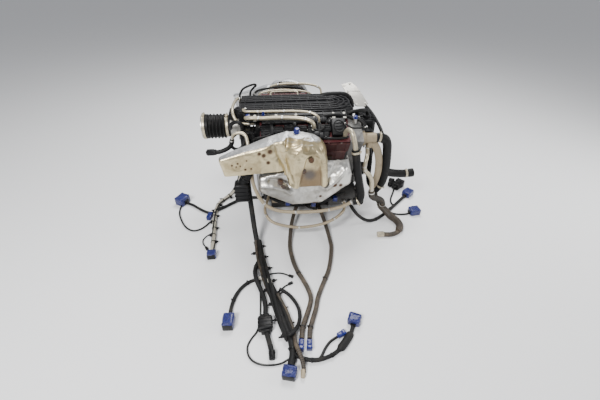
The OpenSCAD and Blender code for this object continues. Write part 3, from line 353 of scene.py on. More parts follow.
wire_dark = grimy("wire_dark", (0.007, 0.007, 0.0075), (0.012, 0.0115, 0.0105), (0.05, 0.043, 0.035), 0.4,
                  patch=40.0, soiled=0.35, depth=0.0002, specular=0.3)
cap_blue = grimy("cap_blue", (0.001, 0.006, 0.10), (0.002, 0.010, 0.15), (0.010, 0.014, 0.05), 0.3,
                 patch=30.0, soiled=0.2, depth=0.0003, coat=0.3)
filter_white = grimy("filter_white", (0.5, 0.5, 0.48), (0.42, 0.42, 0.4), (0.16, 0.12, 0.08), 0.4,
                     soiled=0.45)
# the second colour of each film is its painted highlight along the folds
film_blue = wrapped_film("film_blue", (0.001, 0.005, 0.09), (0.004, 0.014, 0.20))
film_clear = wrapped_film("film_clear", (0.42, 0.44, 0.46), (0.8, 0.82, 0.85))
tape_black = taped("tape_black", (0.0085, 0.0082, 0.0082), (0.0025, 0.0025, 0.0025), (0.050, 0.043, 0.035))
# the second colour is the crest; the much darker third colour (0.010, 0.008, 0.006) is painted shade in the grooves
# between the ribs
hose_brown = convoluted("hose_brown", (0.062, 0.047, 0.033), (0.010, 0.008, 0.006), (0.13, 0.098, 0.066))
cover_red = crackle_red()
steel_bright = worn_steel("steel_bright", (0.62, 0.61, 0.58), (0.2, 0.1, 0.045), 0.35)
steel_turned = worn_steel("steel_turned", (0.5, 0.49, 0.47), (0.2, 0.09, 0.04), 0.5, 0.3)
pulley_dark = worn_steel("pulley_dark", (0.16, 0.155, 0.15), (0.18, 0.08, 0.035), 0.6, 0.42)
iron_scorched = scorched_iron()


# --- Mesh helpers ---
def aim(point, ahead):
    """Matrix that stands a shape's own Z along ahead, with its foot at point."""
    return Matrix.Translation(point) @ Vector(ahead).to_track_quat("Z", "Y").to_matrix().to_4x4()


def piece(name, bm, finish, body="engine", stands_for=(), crease=38.0):
    """Turns a bmesh into a shown piece that rides on a body; nothing goes through the floor."""
    for vert in bm.verts:
        vert.co.z = max(vert.co.z, 0.0)
    for face in bm.faces:
        face.smooth = True
    for edge in bm.edges:
        if edge.is_manifold and edge.calc_face_angle(0.0) > math.radians(crease):
            edge.smooth = False
    mesh = bpy.data.meshes.new(name)
    bm.to_mesh(mesh)
    bm.free()
    mesh.materials.append(finish)
    made = bpy.data.objects.new(name, mesh)
    bpy.context.scene.collection.objects.link(made)
    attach(made, body)
    if stands_for:
        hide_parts(*stands_for)
    return made


def add_block(bm, low, high, edge=0.0015, turn=None, segments=2):
    """Block between two corners, with rounded edges; turn places it afterwards."""
    low, high = Vector(low), Vector(high)
    verts = bmesh.ops.create_cube(bm, size=1.0)["verts"]
    size = Matrix.Diagonal((*(high - low), 1.0))
    bmesh.ops.transform(bm, matrix=Matrix.Translation((low + high) / 2) @ size, verts=verts)
    edges = list({e for v in verts for e in v.link_edges})
    if edge:
        made = bmesh.ops.bevel(bm, geom=edges, offset=edge, offset_type="OFFSET", segments=segments,
                               profile=0.5, affect="EDGES", material=-1, clamp_overlap=True)
        verts = list({v for f in made["faces"] for v in f.verts})
    if turn is not None:
        bmesh.ops.transform(bm, matrix=turn, verts=verts)


def add_round(bm, start, end, radius, end_radius=None, segments=28, edge=0.0):
    """Round bar or cone from start to end, its rims rounded by edge."""
    start, end = Vector(start), Vector(end)
    made = bmesh.ops.create_cone(bm, cap_ends=True, cap_tris=False, segments=segments,
                                 radius1=radius, radius2=end_radius or radius,
                                 depth=(end - start).length)
    verts = made["verts"]
    bmesh.ops.transform(bm, matrix=aim((start + end) / 2, end - start), verts=verts)
    if edge:
        caps = [f for f in {f for v in verts for f in v.link_faces} if len(f.verts) == segments]
        rims = list({e for f in caps for e in f.edges})
        bmesh.ops.bevel(bm, geom=rims, offset=edge, offset_type="OFFSET", segments=2, profile=0.5,
                        affect="EDGES", material=-1, clamp_overlap=True)


def add_spun(bm, profile, foot, ahead, steps=48, closed=False):
    """Turned shape: profile is (radius, height) points about an axis from foot along ahead."""
    verts = [bm.verts.new((r, 0.0, h)) for r, h in profile]
    pairs = list(zip(verts, verts[1:]))
    if closed:
        pairs.append((verts[-1], verts[0]))
    edges = [bm.edges.new(pair) for pair in pairs]
    spun = bmesh.ops.spin(bm, geom=verts + edges, axis=(0, 0, 1), cent=(0, 0, 0), steps=steps,
                          angle=2 * math.pi, use_merge=True)
    found = {v for v in verts if v.is_valid}
    found.update(g for g in spun["geom_last"] if isinstance(g, bmesh.types.BMVert))
    grown = set()
    while found:
        grown |= found
        found = {e.other_vert(v) for v in found for e in v.link_edges} - grown
    bmesh.ops.remove_doubles(bm, verts=list(grown), dist=1e-6)
    grown = [v for v in grown if v.is_valid]
    bmesh.ops.transform(bm, matrix=aim(foot, ahead), verts=grown)
    faces = list({f for v in grown for f in v.link_faces})
    bmesh.ops.recalc_face_normals(bm, faces=faces)


def add_bolt(bm, at, ahead, size=0.0055, length=0.006):
    """Flanged hexagon head, size its half width."""
    at, ahead = Vector(at), Vector(ahead).normalized()
    add_round(bm, at, at + ahead * 0.3 * length, size * 1.45, size * 1.3, segments=18)
    add_round(bm, at + ahead * 0.2 * length, at + ahead * length, size, segments=6, edge=0.0006)


def smooth_path(points, steps=8):
    """Points of the smooth curve through a route."""
    p = [Vector(q) for q in points]
    found = []
    for i in range(len(p) - 1):
        a, b, c, d = p[max(i - 1, 0)], p[i], p[i + 1], p[min(i + 2, len(p) - 1)]
        for k in range(steps):
            t = k / steps
            found.append(0.5 * (2 * b + (c - a) * t + (2 * a - 5 * b + 4 * c - d) * t * t
                                + (3 * b - a - 3 * c + d) * t * t * t))
    return found + [p[-1]]


def evenly(path, step):
    """Points along a path about step apart."""
    total = sum((b - a).length for a, b in zip(path, path[1:]))
    count = max(2, round(total / step))
    found, walked, target = [path[0].copy()], 0.0, total / count
    for a, b in zip(path, path[1:]):
        span = (b - a).length
        while len(found) < count and walked + span >= target * len(found) - 1e-12:
            found.append(a.lerp(b, (target * len(found) - walked) / span))
        walked += span
    return found + [path[-1].copy()]


def add_sweep(bm, path, radius, sides=12):
    """Closed tube along a path; radius is a number or a function of the distance along it."""
    turn = bm.verts.layers.float.get("turn") or bm.verts.layers.float.new("turn")
    along = bm.verts.layers.float.get("along") or bm.verts.layers.float.new("along")
    wound = bm.loops.layers.uv.get("UVMap") or bm.loops.layers.uv.new("UVMap")
    size_at = radius if callable(radius) else lambda distance: radius
    ring = bmesh.ops.create_circle(bm, cap_ends=True, segments=sides, radius=1.0)["verts"]
    for k, vert in enumerate(ring):
        vert[turn] = k / sides
    rim = list({e for v in ring for e in v.link_edges})
    ahead = (path[1] - path[0]).normalized()
    side = ahead.orthogonal().normalized()
    last, distance, walls = Matrix.Identity(4), 0.0, []
    for k, point in enumerate(path):
        if k:
            distance += (point - path[k - 1]).length
            grown = bmesh.ops.extrude_edge_only(bm, edges=rim)["geom"]
            ring = [g for g in grown if isinstance(g, bmesh.types.BMVert)]
            members = set(ring)
            rim = [g for g in grown if isinstance(g, bmesh.types.BMEdge)
                   and g.verts[0] in members and g.verts[1] in members]
            walls += [g for g in grown if isinstance(g, bmesh.types.BMFace)]
        onward = (path[min(k + 1, len(path) - 1)] - path[max(k - 1, 0)]).normalized()
        side = ahead.rotation_difference(onward) @ side
        side = (side - onward * side.dot(onward)).normalized()
        ahead = onward
        size = size_at(distance)
        across = ahead.cross(side)
        here = Matrix((side * size, across * size, ahead)).transposed().to_4x4()
        here.translation = point
        bmesh.ops.transform(bm, matrix=here @ last.inverted(), verts=ring)
        last = here
        for vert in ring:
            vert[along] = distance
    bmesh.ops.edgeloop_fill(bm, edges=rim)
    for face in walls:
        turns = [vert[turn] for vert in face.verts]
        seam = max(turns) - min(turns) > 0.5
        for loop in face.loops:
            share = loop.vert[turn]
            loop[wound].uv = (share + 1.0 if seam and share < 0.5 else share, loop.vert[along])
    bmesh.ops.recalc_face_normals(bm, faces=bm.faces)


def even(points, step=0.006):
    return evenly(smooth_path(points), step)


# --- Cords: routes in metres, as the frame's own solids follow ---
def ribbed(radius, pitch=HOSE_RIB, depth=0.0011):
    return lambda d: radius - depth * (0.5 - 0.5 * math.cos(2 * math.pi * d / pitch))


def lumpy(radius, share=0.05, seed=0.0):
    return lambda d: radius * (1.0 - share + share * noise.noise(Vector((d * 22.0, seed, 3.7))))


ROUTES = {
    "front_loom": [
        (-0.195, -0.160, 0.380), (-0.225, -0.160, 0.380), (-0.252, -0.180, 0.368),
        (-0.264, -0.216, 0.332), (-0.266, -0.252, 0.278), (-0.262, -0.286, 0.210),
        (-0.256, -0.320, 0.140), (-0.250, -0.356, 0.080), (-0.242, -0.396, 0.036),
        (-0.234, -0.440, 0.015), (-0.224, -0.496, 0.013), (-0.208, -0.560, 0.013),
        (-0.190, -0.630, 0.013), (-0.170, -0.700, 0.013), (-0.150, -0.770, 0.013),
        (-0.130, -0.840, 0.013), (-0.112, -0.900, 0.013), (-0.108, -0.950, 0.013),
        (-0.118, -0.990, 0.013)],
    "front_branch_left": [
        (-0.198, -0.600, 0.020), (-0.214, -0.606, 0.012), (-0.240, -0.612, 0.008),
        (-0.268, -0.622, 0.008), (-0.294, -0.642, 0.008), (-0.314, -0.670, 0.008),
        (-0.328, -0.704, 0.008), (-0.336, -0.742, 0.008), (-0.338, -0.775, 0.008)],
    "front_branch_right": [
        (-0.108, -0.950, 0.020), (-0.090, -0.960, 0.012), (-0.064, -0.970, 0.008),
        (-0.032, -0.976, 0.008), (0.000, -0.972, 0.008), (0.034, -0.960, 0.008),
        (0.066, -0.938, 0.008), (0.094, -0.908, 0.008), (0.112, -0.884, 0.008),
        (0.122, -0.862, 0.008)],
    "brown_hose_left": [
        (-0.025, -0.110, 0.060), (-0.025, -0.140, 0.060), (-0.036, -0.184, 0.057),
        (-0.052, -0.236, 0.048), (-0.068, -0.292, 0.035), (-0.078, -0.350, 0.022),
        (-0.084, -0.400, 0.012), (-0.086, -0.444, 0.010), (-0.082, -0.490, 0.010),
        (-0.074, -0.540, 0.010), (-0.060, -0.590, 0.010), (-0.042, -0.636, 0.010),
        (-0.026, -0.684, 0.010), (-0.020, -0.730, 0.010), (-0.034, -0.776, 0.010),
        (-0.052, -0.820, 0.010), (-0.066, -0.860, 0.010), (-0.072, -0.896, 0.010)],
    "brown_hose_right": [
        (0.075, -0.110, 0.060), (0.075, -0.140, 0.060), (0.082, -0.184, 0.057),
        (0.090, -0.236, 0.048), (0.099, -0.292, 0.035), (0.106, -0.350, 0.022),
        (0.110, -0.400, 0.012), (0.110, -0.444, 0.010), (0.102, -0.490, 0.010),
        (0.090, -0.540, 0.010), (0.074, -0.590, 0.010), (0.052, -0.636, 0.010),
        (0.028, -0.684, 0.010), (0.008, -0.730, 0.010), (-0.006, -0.778, 0.010),
        (-0.024, -0.824, 0.010), (-0.038, -0.864, 0.010), (-0.044, -0.900, 0.010)],
    "left_loom": [
        (-0.195, 0.150, 0.400), (-0.225, 0.150, 0.400), (-0.262, 0.140, 0.390),
        (-0.290, 0.112, 0.350), (-0.306, 0.082, 0.290), (-0.318, 0.060, 0.220),
        (-0.332, 0.046, 0.150), (-0.352, 0.034, 0.084), (-0.386, 0.014, 0.030),
        (-0.428, -0.016, 0.011), (-0.458, -0.062, 0.011), (-0.468, -0.120, 0.011),
        (-0.468, -0.180, 0.011), (-0.462, -0.250, 0.011), (-0.456, -0.320, 0.011),
        (-0.452, -0.380, 0.011), (-0.450, -0.430, 0.011)],
    "left_branch": [
        (-0.466, -0.150, 0.018), (-0.484, -0.146, 0.012), (-0.512, -0.134, 0.008),
        (-0.544, -0.112, 0.008), (-0.576, -0.084, 0.008), (-0.606, -0.058, 0.008),
        (-0.636, -0.040, 0.008)],
    "right_loom": [
        (0.230, -0.234, 0.118), (0.230, -0.262, 0.116), (0.244, -0.286, 0.096),
        (0.276, -0.298, 0.060), (0.320, -0.292, 0.026), (0.366, -0.274, 0.011),
        (0.410, -0.246, 0.009), (0.450, -0.214, 0.009), (0.490, -0.180, 0.009),
        (0.528, -0.146, 0.009), (0.562, -0.114, 0.009), (0.596, -0.084, 0.009)],
    "right_hose": [
        (0.380, -0.180, 0.140), (0.384, -0.184, 0.108), (0.398, -0.196, 0.076),
        (0.416, -0.214, 0.050), (0.436, -0.238, 0.035), (0.458, -0.268, 0.018),
        (0.476, -0.302, 0.012), (0.478, -0.342, 0.012), (0.458, -0.376, 0.012),
        (0.420, -0.392, 0.012), (0.380, -0.388, 0.012)],
}


# node: radius, its shape along the route, sides, finish, slot, stiffness
CORDS = {
    "front_loom": (0.013, lumpy, 16, tape_black, "loom_black", "stiff"),
    "front_branch_left": (0.008, lumpy, 12, tape_black, "loom_black", "medium"),
    "front_branch_right": (0.008, lumpy, 12, tape_black, "loom_black", "medium"),
    "brown_hose_left": (0.010, ribbed, 14, hose_brown, "loom_brown", "stiff"),
    "brown_hose_right": (0.010, ribbed, 14, hose_brown, "loom_brown", "stiff"),
    "left_loom": (0.011, lumpy, 14, wire_pale, "loom_beige", "stiff"),
    "left_branch": (0.008, lumpy, 12, tape_black, "loom_black", "medium"),
    "right_loom": (0.009, lumpy, 12, tape_black, "loom_black", "medium"),
    "right_hose": (0.012, ribbed, 16, hose_brown, "black_rubber", "stiff"),
}


def make_cord(name):
    """One free cord on its route; returns the piece and its path."""
    radius, shape, sides, finish, slot, stiffness = CORDS[name]
    ribs = shape is ribbed
    path = even(ROUTES[name], HOSE_RIB / 4 if ribs else 0.005)
    bm = bmesh.new()
    add_sweep(bm, path, shape(radius) if ribs else shape(radius, seed=len(name)), sides)
    made = piece(name + "_run", bm, finish, stands_for=(name,), crease=75.0)
    return made, path


def put(foot, angle):
    """Matrix that sets a part down at foot, its X along a heading in degrees."""
    return Matrix.Translation(foot) @ Matrix.Rotation(math.radians(angle), 4, "Z")


def connector(name, foot, angle, size, finish, film=None, latch=True):
    """Loom connector on the floor: boot, housing with ribs and a latch, and film round it."""
    length, width, height = size
    here = put(foot, angle)
    made = []
    bm = bmesh.new()
    add_block(bm, (0.10 * length, -0.42 * width, 0.0012), (0.72 * length, 0.42 * width, 0.86 * height),
              0.0018, here)
    add_block(bm, (0.66 * length, -0.48 * width, 0.0002), (length, 0.48 * width, 0.96 * height),
              0.0022, here)
    add_block(bm, (0.0, -0.24 * width, 0.12 * height), (0.16 * length, 0.24 * width, 0.62 * height),
              0.002, here)
    for k in range(4):
        x = (0.22 + 0.11 * k) * length
        add_block(bm, (x, -0.45 * width, 0.1 * height), (x + 0.04 * length, 0.45 * width, 0.9 * height),
                  0.0006, here)
    if latch:
        add_block(bm, (0.3 * length, -0.14 * width, 0.84 * height),
                  (0.8 * length, 0.14 * width, 0.99 * height), 0.0012, here)
    made.append(piece(name, bm, finish, stands_for=("loom_connectors",)))
    if film:
        bm = bmesh.new()
        add_block(bm, (0.08 * length, -0.54 * width, 0.0004),
                  (0.99 * length, 0.54 * width, 1.05 * height), 0.006, segments=3)
        bmesh.ops.subdivide_edges(bm, edges=bm.edges[:], cuts=3, use_grid_fill=True)
        low = min(v.co.z for v in bm.verts)
        for vert in bm.verts:
            fold = noise.noise(vert.co * 120.0 + Vector((foot[0] * 50, 3.1, 0.7)))
            vert.co += Vector((0.0, vert.co.y, vert.co.z - 0.5 * height)).normalized() * 0.003 * fold
            vert.co.z = max(vert.co.z, low)
        bmesh.ops.transform(bm, matrix=here, verts=bm.verts)
        made.append(piece(name + "_film", bm, film))
    return made


def make_cords():
    """Every loom and hose that runs over the floor, with what ends it."""
    plug = connector("front_plug", (-0.118, -0.990, 0.0), -104, (0.044, 0.044, 0.030), moulded_black,
                     film_blue)
    left_plug = connector("front_left_plug", (-0.338, -0.775, 0.0), -93, (0.062, 0.040, 0.034),
                          moulded_black, film_blue)
    right_plug = connector("front_right_plug", (0.122, -0.862, 0.0), 65, (0.046, 0.044, 0.030),
                           moulded_black, film_blue)
    hose_left = connector("brown_left_end", (-0.072, -0.896, 0.0), -100, (0.044, 0.022, 0.022),
                          cap_blue, latch=False)
    hose_right = connector("brown_right_end", (-0.044, -0.900, 0.0), -97, (0.040, 0.022, 0.022),
                           cap_blue, latch=False)
    loom_plug = connector("left_plug", (-0.450, -0.430, 0.0), -88, (0.044, 0.038, 0.028),
                          moulded_black, film_blue)
    bag_plug = connector("left_bag_plug", (-0.636, -0.040, 0.0), 150, (0.060, 0.062, 0.044),
                         moulded_black, film_blue)
    side_plug = connector("right_plug", (0.596, -0.084, 0.0), 40, (0.064, 0.044, 0.034),
                          moulded_black, film_blue)
    ends = {"front_loom": plug, "front_branch_left": left_plug, "front_branch_right": right_plug,
            "brown_hose_left": hose_left, "brown_hose_right": hose_right, "left_loom": loom_plug,
            "left_branch": bag_plug, "right_loom": side_plug, "right_hose": []}
    dress = make_loom_dress()
    for name, end in ends.items():
        if name == "left_loom":
            made, path, wires = make_wire_bundle()
            end = end + wires
        else:
            made, path = make_cord(name)
        end = end + dress.get(name, [])
        length = sum((b - a).length for a, b in zip(path, path[1:]))


# --- Heat shields ---
def falloff(distance, inner, outer):
    """1 within inner, easing to 0 at outer."""
    t = min(max((outer - distance) / (outer - inner), 0.0), 1.0)
    return t * t * (3.0 - 2.0 * t)


def line_gap(co, line):
    """Distance from a point to a broken line of (x, z) points, as the front shows it."""
    here, least = Vector((co.x, co.z)), 9.0
    for a, b in zip(line, line[1:]):
        a, b = Vector(a), Vector(b)
        t = min(max((here - a).dot(b - a) / (b - a).length_squared, 0.0), 1.0)
        least = min(least, (here - a.lerp(b, t)).length)
    return least


def spot_gap(co, x, z):
    return math.hypot(co.x - x, co.z - z)


def crease(co, scale, seed):
    """From -1 to 1, with sharp folds at 1."""
    return 1.0 - 3.0 * abs(noise.noise(co * scale + Vector((seed, 1.7, 0.4))))


def add_wrap(bm, balls):
    """Tight skin round balls, each (x, y, z, radius)."""
    skin = bmesh.new()
    for x, y, z, radius in balls:
        bmesh.ops.create_icosphere(skin, subdivisions=3, radius=radius,
                                   matrix=Matrix.Translation((x, y, z)))
    bmesh.ops.delete(skin, geom=skin.edges[:], context="EDGES_FACES")
    bmesh.ops.convex_hull(skin, input=skin.verts[:])
    loose = [v for v in skin.verts if not v.link_faces]
    bmesh.ops.delete(skin, geom=loose, context="VERTS")
    mesh = bpy.data.meshes.new("wrap")
    skin.to_mesh(mesh)
    skin.free()
    bm.from_mesh(mesh)
    bpy.data.meshes.remove(mesh)


def fuse(bm, voxel):
    """Joins the shapes of a bmesh in one even skin."""
    mesh = bpy.data.meshes.new("fused")
    bm.to_mesh(mesh)
    holder = bpy.data.objects.new("fused", mesh)
    bpy.context.scene.collection.objects.link(holder)
    skin = holder.modifiers.new("skin", "REMESH")
    skin.mode = "VOXEL"
    skin.voxel_size = voxel
    shown = holder.evaluated_get(bpy.context.evaluated_depsgraph_get())
    bm.clear()
    bm.from_mesh(shown.to_mesh())
    shown.to_mesh_clear()
    bpy.data.objects.remove(holder)
    bpy.data.meshes.remove(mesh)


def press(bm, amount):
    """Moves each vertex along its normal by amount(place, normal)."""
    bm.normal_update()
    moves = [(v, v.normal * amount(v.co, v.normal)) for v in bm.verts]
    for vert, move in moves:
        vert.co += move


def cut(bm, point, away):
    """Removes what lies beyond a plane."""
    bmesh.ops.bisect_plane(bm, geom=bm.verts[:] + bm.edges[:] + bm.faces[:], dist=1e-6,
                           plane_co=point, plane_no=away, clear_outer=True)


def trim_loose(bm):
    """Keeps the largest sheet only."""
    left, largest = set(bm.faces), []
    while left:
        grown, edge = [], [left.pop()]
        while edge:
            grown += edge
            found = {f for g in edge for e in g.edges for f in e.link_faces} & left
            left -= found
            edge = list(found)
        largest = max(largest, grown, key=len)
    kept = set(largest)
    bmesh.ops.delete(bm, geom=[f for f in bm.faces if f not in kept], context="FACES")


def shield_sheet(wraps, voxel, amount, cuts):
    """Pressed sheet over wrapped balls, cut by planes given as (point, direction away)."""
    bm = bmesh.new()
    for balls in wraps:
        add_wrap(bm, balls)
    fuse(bm, voxel)
    for _ in range(4):
        bmesh.ops.smooth_vert(bm, verts=bm.verts, factor=0.5, use_axis_x=True, use_axis_y=True,
                              use_axis_z=True)
    press(bm, amount)
    for point, away in cuts:
        cut(bm, point, away)
    trim_loose(bm)
    bmesh.ops.recalc_face_normals(bm, faces=bm.faces)
    return bm


NOSE = ((-0.345, -0.390, 0.462, 0.010), (-0.330, -0.392, 0.412, 0.010), (-0.345, -0.360, 0.470, 0.010),
        (-0.330, -0.340, 0.412, 0.010), (-0.100, -0.364, 0.518, 0.012), (-0.100, -0.370, 0.408, 0.010),
        (-0.080, -0.300, 0.530, 0.010), (-0.080, -0.320, 0.408, 0.010), (-0.227, -0.346, 0.499, 0.010),
        (-0.330, -0.340, 0.380, 0.010), (-0.330, -0.392, 0.380, 0.010), (-0.100, -0.370, 0.380, 0.010))
DOME = ((-0.034, -0.331, 0.467, 0.075), (0.010, -0.334, 0.461, 0.071), (-0.060, -0.318, 0.474, 0.064),
        (-0.046, -0.380, 0.312, 0.028), (0.058, -0.376, 0.312, 0.030), (0.038, -0.360, 0.420, 0.047),
        (-0.040, -0.365, 0.405, 0.041), (-0.060, -0.300, 0.312, 0.030), (0.058, -0.300, 0.312, 0.030))
RIM = ((-0.355, 0.468), (-0.313, 0.478), (-0.236, 0.500), (-0.175, 0.518), (-0.131, 0.526),
       (-0.068, 0.533), (-0.013, 0.535), (0.016, 0.530), (0.035, 0.515), (0.056, 0.480))
VALLEY = ((-0.136, 0.527), (-0.122, 0.500), (-0.112, 0.462), (-0.094, 0.420), (-0.080, 0.380), (-0.072, 0.345))
BORDER = ((-0.092, 0.484), (-0.070, 0.506), (-0.030, 0.516), (0.016, 0.510), (0.040, 0.475),
          (0.052, 0.420), (0.056, 0.345))


def dome_pocket(co):
    """Depth of the arched recess low on the dome, from 0 to 1."""
    drop = max(0.452 - co.z, 0.0)
    middle, half = 0.018 - 0.07 * drop, 0.030 + 0.17 * drop
    across = (co.x - middle) / half
    rise = max(co.z - 0.452, 0.0) / 0.025
    return falloff((math.hypot(across, rise) - 1.0) * half, -0.006, 0.004)


def near_shield_form(co, normal):
    """Pressed lines, dents and crumples of the near shield."""
    front = max(-normal.y, 0.0)
    out = 0.0008 * crease(co, 14.0, 2.0) + 0.0004 * crease(co, 45.0, 5.0)
    out += 0.0026 * math.exp(-(line_gap(co, RIM) / 0.0035) ** 2)
    out += 0.0018 * front * math.exp(-(line_gap(co, BORDER) / 0.003) ** 2)
    out -= 0.0120 * front * math.exp(-(line_gap(co, VALLEY) / 0.014) ** 2)
    out -= 0.0130 * front * dome_pocket(co)
    for x, z, size, depth in ((-0.100, 0.512, 0.026, 0.0022), (-0.020, 0.498, 0.036, 0.0045),
                              (-0.039, 0.473, 0.030, 0.0035), (-0.180, 0.470, 0.060, 0.0016)):
        out += depth * crease(co, 42.0, x * 90.0) * falloff(spot_gap(co, x, z), 0.0, size)
    ring = spot_gap(co, -0.283, 0.444)
    out -= 0.0014 * front * math.exp(-((ring - 0.022) / 0.0022) ** 2)
    out -= 0.0012 * front * falloff(ring, 0.014, 0.020)
    out += 0.0022 * front * math.exp(-(line_gap(co, ((-0.122, 0.451), (-0.124, 0.388))) / 0.005) ** 2)
    for x, z, size in ((-0.283, 0.452, 0.005), (-0.290, 0.438, 0.004), (-0.274, 0.440, 0.004),
                       (-0.162, 0.445, 0.009), (-0.152, 0.492, 0.012), (-0.195, 0.487, 0.009),
                       (-0.178, 0.478, 0.010), (-0.255, 0.423, 0.006), (-0.232, 0.423, 0.006)):
        out -= 0.0026 * front * falloff(spot_gap(co, x, z), 0.2 * size, 1.2 * size)
    return out


def far_shield_form(co, normal):
    """The far shield keeps its pressed rim and dome, with few dents."""
    out = 0.0008 * crease(co, 16.0, 8.0)
    out += 0.0022 * math.exp(-(line_gap(co, RIM) / 0.004) ** 2)
    out += 0.0016 * math.exp(-(line_gap(co, BORDER) / 0.003) ** 2)
    return out - 0.0060 * math.exp(-(line_gap(co, VALLEY) / 0.014) ** 2)


LOWER = ((-0.190, -0.338, 0.335, 0.022), (-0.190, -0.334, 0.285, 0.022), (-0.060, -0.344, 0.222, 0.022),
         (0.060, -0.344, 0.228, 0.022), (0.180, -0.337, 0.310, 0.020), (0.180, -0.337, 0.350, 0.020),
         (0.165, -0.326, 0.412, 0.016), (0.090, -0.326, 0.414, 0.016), (-0.190, -0.290, 0.335, 0.022),
         (-0.190, -0.290, 0.285, 0.022), (-0.060, -0.290, 0.222, 0.022), (0.060, -0.290, 0.228, 0.022),
         (0.180, -0.290, 0.310, 0.020), (0.165, -0.290, 0.412, 0.016))


def lower_shield_form(co, normal):
    """Rolls either side of the outlet, the slot with its bolt, and a wrinkled wing."""
    front = max(-normal.y, 0.0)
    out = 0.0008 * crease(co, 18.0, 6.0) + 0.0005 * crease(co, 60.0, 2.5)
    out += 0.0150 * front * math.exp(
        -(line_gap(co, ((-0.196, 0.318), (-0.150, 0.316), (-0.104, 0.300), (-0.076, 0.276))) / 0.013) ** 2)
    out -= 0.0120 * front * math.exp(
        -(line_gap(co, ((-0.160, 0.344), (-0.120, 0.338), (-0.082, 0.312))) / 0.010) ** 2)
    out += 0.0150 * front * math.exp(-(line_gap(co, ((0.086, 0.292), (0.128, 0.330), (0.160, 0.372))) / 0.014) ** 2)
    out -= 0.0060 * front * math.exp(-(line_gap(co, ((0.075, 0.320), (0.110, 0.360), (0.130, 0.410))) / 0.009) ** 2)
    out += 0.0040 * crease(co, 40.0, 9.0) * falloff(spot_gap(co, 0.125, 0.410), 0.0, 0.045)
    out += 0.0025 * crease(co, 30.0, 7.0) * falloff(spot_gap(co, 0.060, 0.260), 0.0, 0.060)
    return out


def mirror_y(balls):
    return tuple((x, -0.983 * y, z, radius) for x, y, z, radius in balls)


def finish_shield(name, bm, finish, node, gauge=0.0016):
    """Gives a pressed sheet its thickness and shows it in place of its node."""
    bmesh.ops.solidify(bm, geom=bm.faces[:], thickness=gauge)
    return piece(name, bm, finish, stands_for=(node,), crease=60.0)


def make_shields():
    """Three pressed heat shields, with their bolts."""
    bm = shield_sheet((NOSE, DOME), 0.0028, near_shield_form, (
        ((0.0, -0.296, 0.0), (0.0, 1.0, 0.0)), ((0.0, 0.0, 0.326), (0.0, 0.0, -1.0)),
        ((-0.349, -0.372, 0.0), (-0.30, 0.95, 0.0))))
    trim_under(bm, -0.098, 0.399)
    finish_shield("near_shield_sheet", bm, foil_gold, "near_turbo_shield")
    bm = shield_sheet((mirror_y(NOSE), mirror_y(DOME)), 0.0032, far_shield_form, (
        ((0.0, 0.296, 0.0), (0.0, -1.0, 0.0)), ((0.0, 0.0, 0.345), (0.0, 0.0, -1.0))))
    trim_under(bm, -0.098, 0.399)
    for vert in bm.verts:
        crown = math.exp(-((vert.co.x + 0.045) / 0.150) ** 2)
        vert.co.z += 0.0250 * crown * falloff(0.545 - vert.co.z, 0.0, 0.080)
    finish_shield("far_shield_sheet", bm, foil_silver, "far_turbo_shield")
    bm = shield_sheet((LOWER,), 0.0030, lower_shield_form, (
        ((0.0, -0.300, 0.0), (0.0, 1.0, 0.0)), ((0.0, 0.0, 0.418), (0.0, 0.0, 1.0))))
    finish_shield("lower_shield_sheet", bm, foil_scuffed, "manifold_shield")
    bm = bmesh.new()
    for x, y, z in ((0.011, -0.403, 0.456), (-0.020, -0.402, 0.407), (-0.105, -0.370, 0.310),
                    (0.120, -0.368, 0.310), (-0.115, -0.368, 0.333)):
        add_round(bm, (x, y + 0.004, z), (x, y - 0.0015, z), 0.011, segments=24, edge=0.0006)
        add_bolt(bm, (x, y - 0.001, z), (0.0, -1.0, 0.0), 0.0055, 0.006)
    add_round(bm, (-0.020, 0.384, 0.407), (-0.020, 0.4015, 0.407), 0.011, segments=24, edge=0.0006)
    piece("shield_bolts", bm, iron_scorched)


def trim_under(bm, x_end, height):
    """Cuts the nose's underside off level, left of x_end."""
    gone = [f for f in bm.faces if f.calc_center_median().x < x_end
            and f.calc_center_median().z < height]
    bmesh.ops.delete(bm, geom=gone, context="FACES")
    trim_loose(bm)


